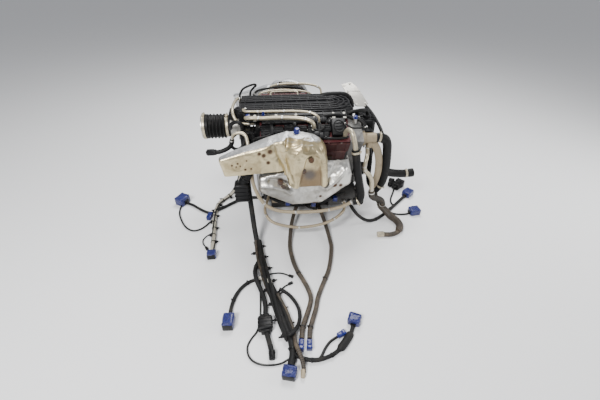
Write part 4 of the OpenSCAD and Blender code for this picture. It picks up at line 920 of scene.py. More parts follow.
def pressed_foil(name, front, shade, top, rust, dots=(), scorch=False):
    """Thin aluminised sheet: bright face, stippled top, rust in its dents, scorch low down."""
    f = Finish(name, 0.34, 0.95)
    height = f.axis("Z", f.facing)
    up = height.step(0.74, 0.88)
    rim = height.step(0.55, 0.68) * (1.0 - height.step(0.78, 0.88))
    flat = f.stretched((1.0, 0.0, 1.0))
    broad = f.noise(13.0, 6.0, 0.62, 0.6)
    fine = f.noise(260.0, 4.0, 0.6)
    stipple = f.cells(330.0)
    colour = f.mix(front, shade, broad.step(0.42, 0.66))
    colour = f.mix(colour, top, up)
    dashes = (f.axis("X") * 1250.0).sine().step(-0.2, 0.6)
    colour = f.mix(colour, rust, rim * dashes * 0.30)
    soot = broad.step(0.60, 0.78) * (0.35 + 0.5 * fine)
    for x, z, size in dots:
        mark = f.near((x, 0.0, z), 0.35 * size, size, flat)
        colour = f.mix(colour, (0.062, 0.028, 0.013), mark * (0.62 + 0.7 * fine))
        soot = soot.larger(mark)
    if scorch:
        across = f.axis("X")
        here = across.step(-0.050, -0.020) * (1.0 - across.step(0.045, 0.070))
        low = 1.0 - f.axis("Z").step(0.345, 0.465)
        burnt = here * low * (0.55 + 0.7 * broad)
        colour = f.mix(colour, (0.19, 0.125, 0.070), burnt.step(0.12, 0.62) * 0.85)
        grey = f.near((0.006, 0.0, 0.385), 0.010, 0.038, flat)
        colour = f.mix(colour, (0.105, 0.097, 0.095), grey * 0.85)
        soot = soot.larger(burnt.step(0.2, 0.8))
    f.feed("Base Color", colour)
    f.feed("Roughness", 0.27 + 0.16 * broad + 0.12 * up + 0.3 * soot)
    f.feed("Metallic", 0.97 - 0.45 * soot)
    f.bumps(stipple * up * 0.9 + fine * 0.35 + broad * 0.2, 0.0008, 0.75)
    return f.material


NEAR_DOTS = ((-0.162, 0.445, 0.012), (-0.152, 0.492, 0.015), (-0.195, 0.487, 0.011),
             (-0.178, 0.478, 0.013), (-0.255, 0.423, 0.007), (-0.232, 0.423, 0.006),
             (-0.283, 0.452, 0.006), (-0.290, 0.438, 0.005), (-0.274, 0.440, 0.005),
             (-0.306, 0.446, 0.006), (-0.247, 0.462, 0.005), (0.011, 0.456, 0.016))
foil_gold = pressed_foil("foil_gold", (0.60, 0.515, 0.325), (0.40, 0.325, 0.190), (0.50, 0.50, 0.49),
                         (0.60, 0.36, 0.08), NEAR_DOTS, scorch=True)
foil_silver = pressed_foil("foil_silver", (0.66, 0.66, 0.65), (0.52, 0.52, 0.52), (0.70, 0.71, 0.72),
                           (0.40, 0.34, 0.24))
foil_scuffed = pressed_foil("foil_scuffed", (0.60, 0.59, 0.555), (0.42, 0.40, 0.36), (0.55, 0.54, 0.5),
                            (0.30, 0.22, 0.13), ((-0.115, 0.333, 0.022), (0.060, 0.250, 0.010),
                                                 (0.150, 0.300, 0.012)))


# --- Inlet: plenum ribs, bellows, throttle ---
def make_plenum_dress():
    """Moulded ribs on the plenum: nested loops, cross webs, end drum and flange bolts."""
    top = 0.5495
    bm = bmesh.new()
    for half, left in ((0.097, -0.284), (0.074, -0.284), (0.051, -0.284), (0.027, -0.284)):
        bend = 0.236 - 0.097
        loop = [(left, -half, top)]
        loop += [(bend + half * math.sin(a), -half * math.cos(a), top)
                 for a in (math.pi * k / 16 for k in range(17))]
        loop.append((left, half, top))
        add_sweep(bm, evenly([Vector(p) for p in loop], 0.008), 0.0062, 12)
    for k in range(11):
        x = -0.262 + 0.044 * k
        add_block(bm, (x - 0.0018, -0.096, top - 0.002), (x + 0.0018, -0.028, top + 0.0042), 0.0006)
        add_block(bm, (x - 0.0018, 0.028, top - 0.002), (x + 0.0018, 0.096, top + 0.0042), 0.0006)
    for k in range(7):
        x = -0.240 + 0.066 * k
        add_block(bm, (x - 0.0016, -0.1075, 0.486), (x + 0.0016, -0.102, 0.546), 0.0006)
    add_round(bm, (-0.2865, -0.060, 0.509), (-0.2865, -0.060, 0.5535), 0.024, 0.0225, 40, 0.002)
    add_round(bm, (-0.2865, -0.060, 0.552), (-0.2865, -0.060, 0.5575), 0.013, 0.012, 24, 0.001)
    add_block(bm, (-0.293, 0.020, 0.492), (-0.286, 0.092, 0.546), 0.002)
    piece("plenum_ribs", bm, moulded_dusty)
    bm = bmesh.new()
    for k in range(6):
        x = -0.255 + 0.092 * k
        for y in (-0.1005, 0.1005):
            add_round(bm, (x, y, 0.470), (x, y, 0.482), 0.0075, segments=20, edge=0.001)
            add_bolt(bm, (x, y, 0.482), (0.0, 0.0, 1.0), 0.0048, 0.005)
    piece("plenum_bolts", bm, steel_bright)


def make_bellows():
    """Open corrugated mouth, with its two band clamps and the motor box on the throttle."""
    outer = [(0.0540, 0.0), (0.0572, 0.0015), (0.0572, 0.0300)]
    for k in range(5):
        h = 0.0310 + 0.0162 * k
        outer += [(0.0520, h + 0.0015), (0.0512, h + 0.0035), (0.0560, h + 0.0062),
                  (0.0582, h + 0.0085), (0.0582, h + 0.0105), (0.0560, h + 0.0128)]
    outer += [(0.0508, 0.1130), (0.0503, 0.1160), (0.0503, 0.1335)]
    inner = [(radius - 0.0034, h) for radius, h in outer]
    bm = bmesh.new()
    add_spun(bm, outer + inner[::-1], (-0.470, -0.045, 0.462), (1.0, 0.0, 0.0), 64, closed=True)
    piece("bellows_rubber", bm, rubber_black, stands_for=("inlet_bellows",),
          crease=50.0)
    bm = bmesh.new()
    for foot, radius, wide in ((-0.4650, 0.0574, 0.012), (-0.3580, 0.0506, 0.012)):
        add_spun(bm, [(radius, 0.0), (radius + 0.0016, 0.0004), (radius + 0.0012, 0.002),
                      (radius + 0.0012, wide - 0.002), (radius + 0.0016, wide - 0.0004),
                      (radius, wide)], (foot, -0.045, 0.462), (1.0, 0.0, 0.0), 64, closed=True)
        add_block(bm, (foot - 0.0005, -0.058, 0.462 + radius), (foot + wide + 0.0005, -0.032,
                                                              0.462 + radius + 0.0058), 0.0012)
        add_round(bm, (foot + 0.5 * wide, -0.062, 0.4648 + radius),
                  (foot + 0.5 * wide, -0.022, 0.4648 + radius), 0.0028, segments=14, edge=0.0004)
    add_round(bm, (0.350, -0.388, 0.014), (0.381, -0.388, 0.014), 0.0138, segments=32, edge=0.001)
    add_round(bm, (0.356, -0.388, 0.014), (0.362, -0.388, 0.014), 0.0144, segments=6)
    piece("band_clamps", bm, plated_cream, stands_for=("hose_clamps",))
    bm = bmesh.new()
    add_spun(bm, [(0.0535, 0.0), (0.0555, -0.0008), (0.0572, 0.0), (0.0576, 0.004), (0.0545, 0.004)],
             (-0.4695, -0.045, 0.462), (1.0, 0.0, 0.0), 64, closed=True)
    piece("bellows_lip", bm, steel_bright)
    bm = bmesh.new()
    add_block(bm, (-0.3375, -0.074, 0.5045), (-0.3005, -0.016, 0.5365), 0.005, segments=3)
    add_block(bm, (-0.3330, -0.086, 0.506), (-0.3070, -0.072, 0.526), 0.003)
    add_round(bm, (-0.319, -0.045, 0.530), (-0.319, -0.045, 0.5405), 0.0165, 0.015, 32, 0.0012)
    for x in (-0.332, -0.306):
        for y in (-0.068, -0.022):
            add_bolt(bm, (x, y, 0.536), (0.0, 0.0, 1.0), 0.003, 0.0035)
    for k in range(4):
        x = -0.3335 + 0.0085 * k
        add_block(bm, (x, -0.0755, 0.508), (x + 0.003, -0.0735, 0.534), 0.0004)
    piece("throttle_motor", bm, moulded_black)


# --- Rigid pipes and the hoses that the engine holds ---
def tube(name, points, radius, finish, sides=16, stands_for=(), step=0.006):
    bm = bmesh.new()
    add_sweep(bm, even(points, step), radius, sides)
    return piece(name, bm, finish, stands_for=stands_for, crease=70.0)


PIPES = {
    "rail_pipe": (0.009, ((-0.250, -0.095, 0.515), (-0.256, -0.130, 0.532), (-0.240, -0.160, 0.544),
                          (-0.190, -0.168, 0.544), (-0.120, -0.172, 0.546), (-0.060, -0.178, 0.546),
                          (-0.010, -0.188, 0.545), (0.030, -0.206, 0.538), (0.044, -0.205, 0.515),
                          (0.044, -0.190, 0.489))),
    "upper_pipe": (0.005, ((-0.255, -0.060, 0.545), (-0.266, -0.104, 0.561), (-0.250, -0.135, 0.565),
                           (-0.180, -0.142, 0.565), (-0.100, -0.146, 0.565), (-0.040, -0.150, 0.565),
                           (0.020, -0.160, 0.563), (0.060, -0.180, 0.552), (0.070, -0.180, 0.530),
                           (0.070, -0.165, 0.504))),
    "under_pipe": (0.008, ((-0.235, -0.290, 0.372), (-0.238, -0.322, 0.350), (-0.234, -0.338, 0.310),
                           (-0.215, -0.346, 0.250), (-0.185, -0.354, 0.205), (-0.130, -0.362, 0.176),
                           (-0.050, -0.366, 0.166), (0.050, -0.366, 0.164), (0.150, -0.352, 0.168),
                           (0.225, -0.328, 0.182))),
    "under_pipe_two": (0.007, ((-0.172, -0.118, 0.130), (-0.172, -0.150, 0.130), (-0.182, -0.210, 0.130),
                               (-0.196, -0.280, 0.130), (-0.188, -0.330, 0.122), (-0.158, -0.358, 0.104),
                               (-0.100, -0.368, 0.086), (-0.030, -0.370, 0.074), (0.060, -0.366, 0.080),
                               (0.130, -0.350, 0.094), (0.186, -0.308, 0.108), (0.200, -0.266, 0.116),
                               (0.200, -0.234, 0.118))),
    "far_pipe": (0.006, ((-0.150, 0.225, 0.469), (-0.150, 0.240, 0.495), (-0.148, 0.258, 0.535),
                         (-0.110, 0.270, 0.552), (-0.020, 0.272, 0.556), (0.070, 0.266, 0.552),
                         (0.130, 0.256, 0.534), (0.140, 0.240, 0.495), (0.140, 0.225, 0.469))),
}
FRONT_HOSE = ((0.180, -0.225, 0.469), (0.180, -0.240, 0.495), (0.186, -0.262, 0.518),
              (0.196, -0.290, 0.516), (0.204, -0.306, 0.488), (0.212, -0.316, 0.450),
              (0.220, -0.322, 0.400), (0.230, -0.326, 0.340), (0.244, -0.330, 0.280),
              (0.256, -0.334, 0.225), (0.250, -0.334, 0.190), (0.225, -0.328, 0.182))
RADIATOR_HOSE = ((0.331, -0.200, 0.445), (0.352, -0.200, 0.445), (0.378, -0.200, 0.436),
                 (0.392, -0.200, 0.408), (0.400, -0.198, 0.360), (0.406, -0.196, 0.300),
                 (0.408, -0.194, 0.240), (0.400, -0.190, 0.185), (0.380, -0.180, 0.140))
STUB_HOSE = ((0.405, -0.194, 0.262), (0.430, -0.192, 0.248), (0.462, -0.190, 0.240),
             (0.510, -0.190, 0.236), (0.556, -0.190, 0.240))


def ring_clamp(bm, path, place, radius, wide=0.010):
    """Band clamp round a hose, at a share of the way along it."""
    k = min(int(place * (len(path) - 1)), len(path) - 2)
    ahead = (path[k + 1] - path[k]).normalized()
    foot = path[k] - ahead * wide / 2
    add_spun(bm, [(radius - 0.0006, 0.0), (radius + 0.0012, 0.0003), (radius + 0.0008, 0.0015),
                  (radius + 0.0008, wide - 0.0015), (radius + 0.0012, wide - 0.0003),
                  (radius - 0.0006, wide)], foot, ahead, 40, closed=True)
    side = ahead.cross(Vector((0.3, 1.0, 0.2))).normalized()
    middle = path[k] + side * (radius + 0.003)
    around = ahead.cross(side)
    add_round(bm, middle - around * 0.009, middle + around * 0.011, 0.0032, segments=12, edge=0.0004)


def make_pipes():
    """Plated pipes with their unions, and the large coolant hoses with their clamps."""
    for name, (radius, points) in PIPES.items():
        tube(name, points, radius, pipe_tan if name.startswith("under") else plated_cream,
             stands_for=("steel_pipes",))
    bm = bmesh.new()
    for name, (radius, points) in PIPES.items():
        path = even(points, 0.004)
        for a, b in ((path[1], path[4]), (path[-2], path[-5])):
            add_round(bm, a, b, radius + 0.0035, segments=6, edge=0.0006)
        for share in (0.3, 0.55, 0.8):
            k = int(share * (len(path) - 1))
            add_round(bm, path[k - 1], path[k + 1], radius + 0.0012, segments=24, edge=0.0005)
    for vert in bm.verts:
        vert.co.z = min(vert.co.z, 0.5705)
    piece("pipe_unions", bm, steel_bright)
    tube("front_hose_run", FRONT_HOSE[5:], 0.018, rubber_black, 24, ("front_hose",))
    tube("front_hose_pipe", FRONT_HOSE[:7], 0.0105, plated_cream, 20, ("front_hose",))
    tube("radiator_hose_run", RADIATOR_HOSE, 0.021, rubber_black, 24,
         ("radiator_hose",))
    tube("stub_hose_run", STUB_HOSE, lambda d: 0.020 + 0.0016 * falloff(abs(d - 0.146), 0.010, 0.014),
         rubber_black, 24, ("radiator_hose",), step=0.004)
    bm = bmesh.new()
    for points, radius, shares in ((FRONT_HOSE[5:], 0.018, (0.05, 0.93)), (RADIATOR_HOSE, 0.021, (0.06, 0.9)),
                                   (STUB_HOSE, 0.020, (0.8,))):
        for share in shares:
            ring_clamp(bm, even(points), share, radius)
    add_round(bm, (0.548, -0.190, 0.2395), (0.5575, -0.190, 0.2400), 0.0175, segments=32, edge=0.001)
    piece("hose_bands", bm, plated_cream)


# --- Thin leads that leave the looms, on the floor ---
LEADS = {
    "front_thin_lead": (0.0035, "object", (
        (-0.226, -0.609, 0.010), (-0.225, -0.640, 0.004), (-0.223, -0.700, 0.004),
        (-0.222, -0.760, 0.004), (-0.224, -0.812, 0.004), (-0.234, -0.850, 0.004),
        (-0.254, -0.878, 0.004), (-0.266, -0.905, 0.004), (-0.262, -0.936, 0.004),
        (-0.244, -0.960, 0.004), (-0.214, -0.974, 0.004), (-0.180, -0.978, 0.004),
        (-0.150, -0.975, 0.004), (-0.130, -0.968, 0.008), (-0.113, -0.962, 0.013))),
    "front_second_loom": (0.010, "fitting", (
        (-0.224, -0.496, 0.013), (-0.238, -0.528, 0.012), (-0.246, -0.556, 0.013),
        (-0.246, -0.584, 0.021), (-0.242, -0.612, 0.028), (-0.234, -0.640, 0.021),
        (-0.222, -0.668, 0.012), (-0.210, -0.704, 0.010), (-0.203, -0.742, 0.010),
        (-0.202, -0.780, 0.010), (-0.204, -0.816, 0.010), (-0.200, -0.852, 0.010),
        (-0.192, -0.886, 0.010), (-0.184, -0.918, 0.010), (-0.180, -0.940, 0.010))),
    "front_tail_lead": (0.005, "connector", (
        (-0.020, -0.975, 0.008), (-0.008, -0.960, 0.006), (0.002, -0.944, 0.005),
        (0.014, -0.928, 0.005), (0.028, -0.914, 0.005), (0.044, -0.904, 0.005),
        (0.056, -0.898, 0.005))),
    "front_upper_lead": (0.0035, "connector", (
        (-0.200, -0.596, 0.013), (-0.184, -0.588, 0.008), (-0.164, -0.582, 0.004),
        (-0.142, -0.582, 0.004), (-0.122, -0.588, 0.004), (-0.104, -0.598, 0.004))),
    "front_middle_lead": (0.0035, "connector", (
        (-0.172, -0.692, 0.013), (-0.154, -0.684, 0.007), (-0.138, -0.672, 0.004),
        (-0.124, -0.658, 0.004), (-0.108, -0.648, 0.004))),
    "left_loop_lead": (0.0045, "object", (
        (-0.660, -0.046, 0.012), (-0.668, -0.076, 0.005), (-0.664, -0.122, 0.005),
        (-0.648, -0.168, 0.005), (-0.626, -0.214, 0.005), (-0.598, -0.252, 0.005),
        (-0.564, -0.272, 0.005), (-0.532, -0.264, 0.005), (-0.508, -0.240, 0.005),
        (-0.490, -0.214, 0.006), (-0.467, -0.198, 0.011))),
    "left_clip_lead": (0.003, "connector", (
        (-0.458, -0.300, 0.011), (-0.478, -0.306, 0.005), (-0.496, -0.322, 0.0035),
        (-0.506, -0.346, 0.0035), (-0.500, -0.372, 0.0035), (-0.486, -0.392, 0.0035))),
    "right_back_lead": (0.005, "connector", (
        (0.510, -0.162, 0.009), (0.504, -0.142, 0.006), (0.506, -0.114, 0.005),
        (0.518, -0.084, 0.005), (0.534, -0.054, 0.005), (0.550, -0.026, 0.005),
        (0.562, -0.002, 0.005))),
    "left_black_lead": (0.009, "object", (
        (-0.158, -0.030, 0.016), (-0.190, -0.026, 0.012), (-0.225, -0.022, 0.010),
        (-0.262, -0.020, 0.010), (-0.302, -0.022, 0.010), (-0.345, -0.036, 0.010),
        (-0.386, -0.064, 0.010), (-0.430, -0.098, 0.010), (-0.462, -0.120, 0.012))),
    "front_brown_lead": (0.008, "fitting", (
        (-0.152, -0.700, 0.014), (-0.140, -0.728, 0.010), (-0.127, -0.762, 0.009),
        (-0.115, -0.800, 0.010), (-0.106, -0.838, 0.013), (-0.100, -0.872, 0.017),
        (-0.097, -0.902, 0.021), (-0.094, -0.928, 0.026), (-0.088, -0.950, 0.030),
        (-0.080, -0.972, 0.024), (-0.075, -0.994, 0.012), (-0.076, -1.014, 0.009))),
    "front_cross_lead": (0.0075, "object", (
        (-0.145, -0.674, 0.014), (-0.126, -0.685, 0.010), (-0.105, -0.705, 0.008),
        (-0.086, -0.735, 0.008), (-0.073, -0.769, 0.008), (-0.071, -0.802, 0.008),
        (-0.077, -0.831, 0.012), (-0.087, -0.859, 0.024), (-0.099, -0.879, 0.034),
        (-0.110, -0.889, 0.036), (-0.120, -0.889, 0.030))),
    "right_front_lead": (0.005, "connector", (
        (0.462, -0.204, 0.009), (0.474, -0.218, 0.006), (0.496, -0.230, 0.005),
        (0.522, -0.236, 0.005), (0.548, -0.236, 0.005), (0.566, -0.232, 0.005))),
}


def make_leads():
    """Leads with what ends them, each a cord of its own that leaves a loom."""
    bm = bmesh.new()
    add_round(bm, (-0.180, -0.932, 0.0125), (-0.179, -0.962, 0.0125), 0.0122, 0.0112, 24, 0.001)
    add_round(bm, (-0.1795, -0.938, 0.0128), (-0.1793, -0.944, 0.0128), 0.0126, segments=24, edge=0.0005)
    sleeve = piece("second_loom_end", bm, moulded_black)
    bm = bmesh.new()
    here = put((-0.203, -0.800, 0.0), -88)
    add_block(bm, (0.0, -0.027, 0.0005), (0.056, 0.027, 0.030), 0.006, here, 3)
    add_block(bm, (-0.010, -0.017, 0.0005), (0.066, 0.017, 0.024), 0.004, here, 3)
    for k in range(3):
        add_block(bm, (0.010 + 0.014 * k, -0.0282, 0.004), (0.015 + 0.014 * k, 0.0282, 0.0312), 0.001, here)
    grommet = piece("second_loom_box", bm, moulded_black)
    bm = bmesh.new()
    add_round(bm, (-0.077, -1.006, 0.0095), (-0.081, -1.030, 0.0095), 0.0092, 0.0070, 24, 0.001)
    brown_end = piece("brown_lead_end", bm, pipe_tan)
    ends = {
        "front_second_loom": [sleeve, grommet], "front_brown_lead": [brown_end],
        "front_tail_lead": connector("tail_plug", (0.056, -0.898, 0.0), 25, (0.036, 0.022, 0.018),
                                     cap_blue, latch=False),
        "front_upper_lead": connector("upper_plug", (-0.104, -0.598, 0.0), -30, (0.024, 0.013, 0.011),
                                      moulded_black),
        "front_middle_lead": connector("middle_plug", (-0.108, -0.648, 0.0), 25, (0.022, 0.013, 0.011),
                                       moulded_black),
        "left_clip_lead": connector("clip_plug", (-0.486, -0.392, 0.0), -60, (0.024, 0.014, 0.011),
                                    moulded_black),
        "right_back_lead": connector("right_back_plug", (0.562, -0.002, 0.0), 40, (0.074, 0.050, 0.044),
                                     moulded_black, None)
        + connector("right_pin_plug", (0.548, 0.030, 0.0), 62, (0.050, 0.036, 0.036), moulded_black),
        "right_front_lead": connector("right_front_plug", (0.566, -0.232, 0.0), 8,
                                      (0.060, 0.044, 0.034), moulded_black, film_blue),
    }
    for name, (radius, far, route) in LEADS.items():
        path = even(route, 0.004)
        bm = bmesh.new()
        thick = radius > 0.007
        brown = name == "front_brown_lead"
        add_sweep(bm, path, lumpy(radius, seed=2.0) if thick else radius, 14 if thick else 10)
        made = piece(name, bm, hose_brown if brown else tape_black if thick else wire_dark,
                     crease=75.0)
        length = sum((b - a).length for a, b in zip(path, path[1:]))


def add_strands(bm, path, offset, radius, turns, which):
    """Wires twisted along a path; which lists the strands wanted out of seven."""
    ahead = (path[1] - path[0]).normalized()
    side = ahead.orthogonal().normalized()
    frames, walked = [], 0.0
    for k, point in enumerate(path):
        onward = (path[min(k + 1, len(path) - 1)] - path[max(k - 1, 0)]).normalized()
        side = ahead.rotation_difference(onward) @ side
        side = (side - onward * side.dot(onward)).normalized()
        ahead = onward
        frames.append((point, side, ahead.cross(side), walked))
        if k + 1 < len(path):
            walked += (path[k + 1] - point).length
    for strand in which:
        if strand == 6:
            add_sweep(bm, path, radius, 8)
            continue
        line = []
        for point, first, second, distance in frames:
            a = 2 * math.pi * (strand / 6 + turns * distance)
            away = offset * (1.0 + 0.12 * noise.noise(Vector((distance * 30.0, strand, 1.0))))
            spot = point + first * math.cos(a) * away + second * math.sin(a) * away
            spot.z = max(spot.z, radius + 0.0006)
            line.append(spot)
        add_sweep(bm, line, radius, 8)


def make_wire_bundle():
    """The left loom: pale wires with dark ones among them, held by clips and ties."""
    path = even(ROUTES["left_loom"], 0.007)
    bm = bmesh.new()
    add_strands(bm, path, 0.0068, 0.0039, 1.4, (0, 1, 3, 4, 6))
    pale = piece("left_loom_run", bm, wire_pale, stands_for=("left_loom",), crease=80.0)
    bm = bmesh.new()
    add_strands(bm, path, 0.0068, 0.0039, 1.4, (2, 5))
    dark = piece("left_loom_dark_wires", bm, wire_dark)
    bm = bmesh.new()
    for k in range(9, len(path) - 3, 7):
        ahead = (path[k + 1] - path[k]).normalized()
        add_spun(bm, [(0.0108, 0.0), (0.0118, 0.0004), (0.0118, 0.0052), (0.0108, 0.0056)],
                 path[k], ahead, 24, closed=True)
        side = ahead.cross(Vector((0.0, 0.0, 1.0))).normalized() * (1 if k % 2 else -1)
        if path[k].z < 0.03:
            at = path[k] + side * 0.014
            add_block(bm, (at.x - 0.006, at.y - 0.004, 0.004), (at.x + 0.006, at.y + 0.004, 0.015), 0.001)
            add_round(bm, at + side * 0.002 + Vector((0, 0, 0.001)), at + side * 0.011, 0.0035,
                      segments=12, edge=0.0005)
    clips = piece("left_loom_clips", bm, moulded_black)
    bm = bmesh.new()
    here = put((-0.492, -0.150, 0.0), -100)
    add_block(bm, (0.0, -0.012, 0.0005), (0.044, 0.012, 0.024), 0.003, here)
    add_block(bm, (-0.008, -0.008, 0.0005), (0.004, 0.008, 0.016), 0.002, here)
    block = piece("left_loom_block", bm, cap_blue)
    return pale, path, [dark, clips, block]


def make_loom_dress():
    """Ties, tags and taped lumps on the looms and hoses, listed for the cord that each is on."""
    ties = {"front_loom": (0.013, (0.50, 0.56, 0.63, 0.69, 0.75, 0.83, 0.90, 0.95)),
            "front_branch_left": (0.008, (0.35, 0.75)), "front_branch_right": (0.008, (0.25, 0.5)),
            "right_loom": (0.009, (0.45, 0.7)), "brown_hose_left": (0.010, (0.62, 0.95)),
            "brown_hose_right": (0.010, (0.66, 0.95))}
    made = {}
    for name, (radius, shares) in ties.items():
        path = even(ROUTES[name], 0.004)
        bm = bmesh.new()
        for share in shares:
            k = int(share * (len(path) - 2))
            ahead = (path[k + 1] - path[k]).normalized()
            add_spun(bm, [(radius - 0.0004, 0.0), (radius + 0.0010, 0.0003), (radius + 0.0010, 0.0042),
                          (radius - 0.0004, 0.0045)], path[k], ahead, 24, closed=True)
            add_block(bm, (-0.003, -0.0025, radius), (0.003, 0.0025, radius + 0.0035), 0.0006,
                      Matrix.Translation(path[k]) @ Matrix.Rotation(0.4 + share, 4, ahead))
        made[name] = [piece(name + "_ties", bm, moulded_black)]
    for name, foot, share, wide in (("front_loom", "tag_main", 0.66, 0.020),
                                    ("front_branch_left", "tag_branch", 0.10, 0.014)):
        radius = CORDS[name][0]
        path = even(ROUTES[name], 0.004)
        k = int(share * (len(path) - 2))
        bm = bmesh.new()
        add_spun(bm, [(radius, 0.0), (radius + 0.0014, 0.0), (radius + 0.0014, wide), (radius, wide)],
                 path[k], (path[k + 1] - path[k]), 24, closed=True)
        made[name].append(piece(foot, bm, tag_white))
    path = even(ROUTES["front_loom"], 0.006)
    onto = [p for p in path if -0.900 < p.y < -0.400]
    bm = bmesh.new()
    add_strands(bm, onto, 0.0150, 0.0070, 0.9, (0, 2, 3))
    made["front_loom"].append(piece("front_loom_side_wires", bm, tape_black))
    bm = bmesh.new()
    add_strands(bm, onto, 0.0155, 0.0065, 0.9, (4,))
    made["front_loom"].append(piece("front_loom_brown_wire", bm, hose_brown))
    bm = bmesh.new()
    for k in range(4, len(onto) - 3, 6):
        ahead = (onto[k + 1] - onto[k]).normalized()
        side = ahead.cross(Vector((0.0, 0.0, 1.0))).normalized() * (1 if k % 4 else -1)
        at = onto[k] + side * 0.023
        add_block(bm, (at.x - 0.006, at.y - 0.005, 0.003), (at.x + 0.006, at.y + 0.005, 0.014), 0.001)
        add_round(bm, Vector((at.x, at.y, 0.008)), Vector((at.x, at.y, 0.008)) + side * 0.015, 0.0032,
                  segments=12, edge=0.0005)
    made["front_loom"].append(piece("front_loom_clips", bm, moulded_black))
    path = even(ROUTES["front_branch_right"], 0.004)
    lump = path[int(0.60 * len(path)):int(0.90 * len(path))]
    bm = bmesh.new()
    add_sweep(bm, lump, lambda d: 0.0086 + 0.0058 * min(1.0, d / 0.012, max(0.0, 0.088 - d) / 0.012), 16)
    for vert in bm.verts:
        vert.co.z = max(0.0004, 0.010 + (vert.co.z - 0.008) * 0.85)
    made["front_branch_right"].append(piece("branch_right_lump", bm, tape_black))
    path = even(ROUTES["right_hose"], 0.004)
    lump = [p + Vector((0.0, 0.0, max(0.0, 0.0190 - p.z))) for p in path[int(0.22 * len(path)):int(0.80 * len(path))]]
    bm = bmesh.new()
    add_sweep(bm, lump, lambda d: 0.0135 + 0.0048 * min(1.0, d / 0.014, max(0.0, 0.216 - d) / 0.014), 18)
    made["right_hose"] = [piece("right_hose_sleeve", bm, hose_brown)]
    return made


# --- Dress on the covers and the front ---
def bank(side):
    """Matrix of a bank: X along the crank, Z up the cylinders."""
    return Matrix.Translation((0.0, 0.0, 0.160)) @ Matrix.Rotation(math.radians(-30.0 * side), 4, "X")


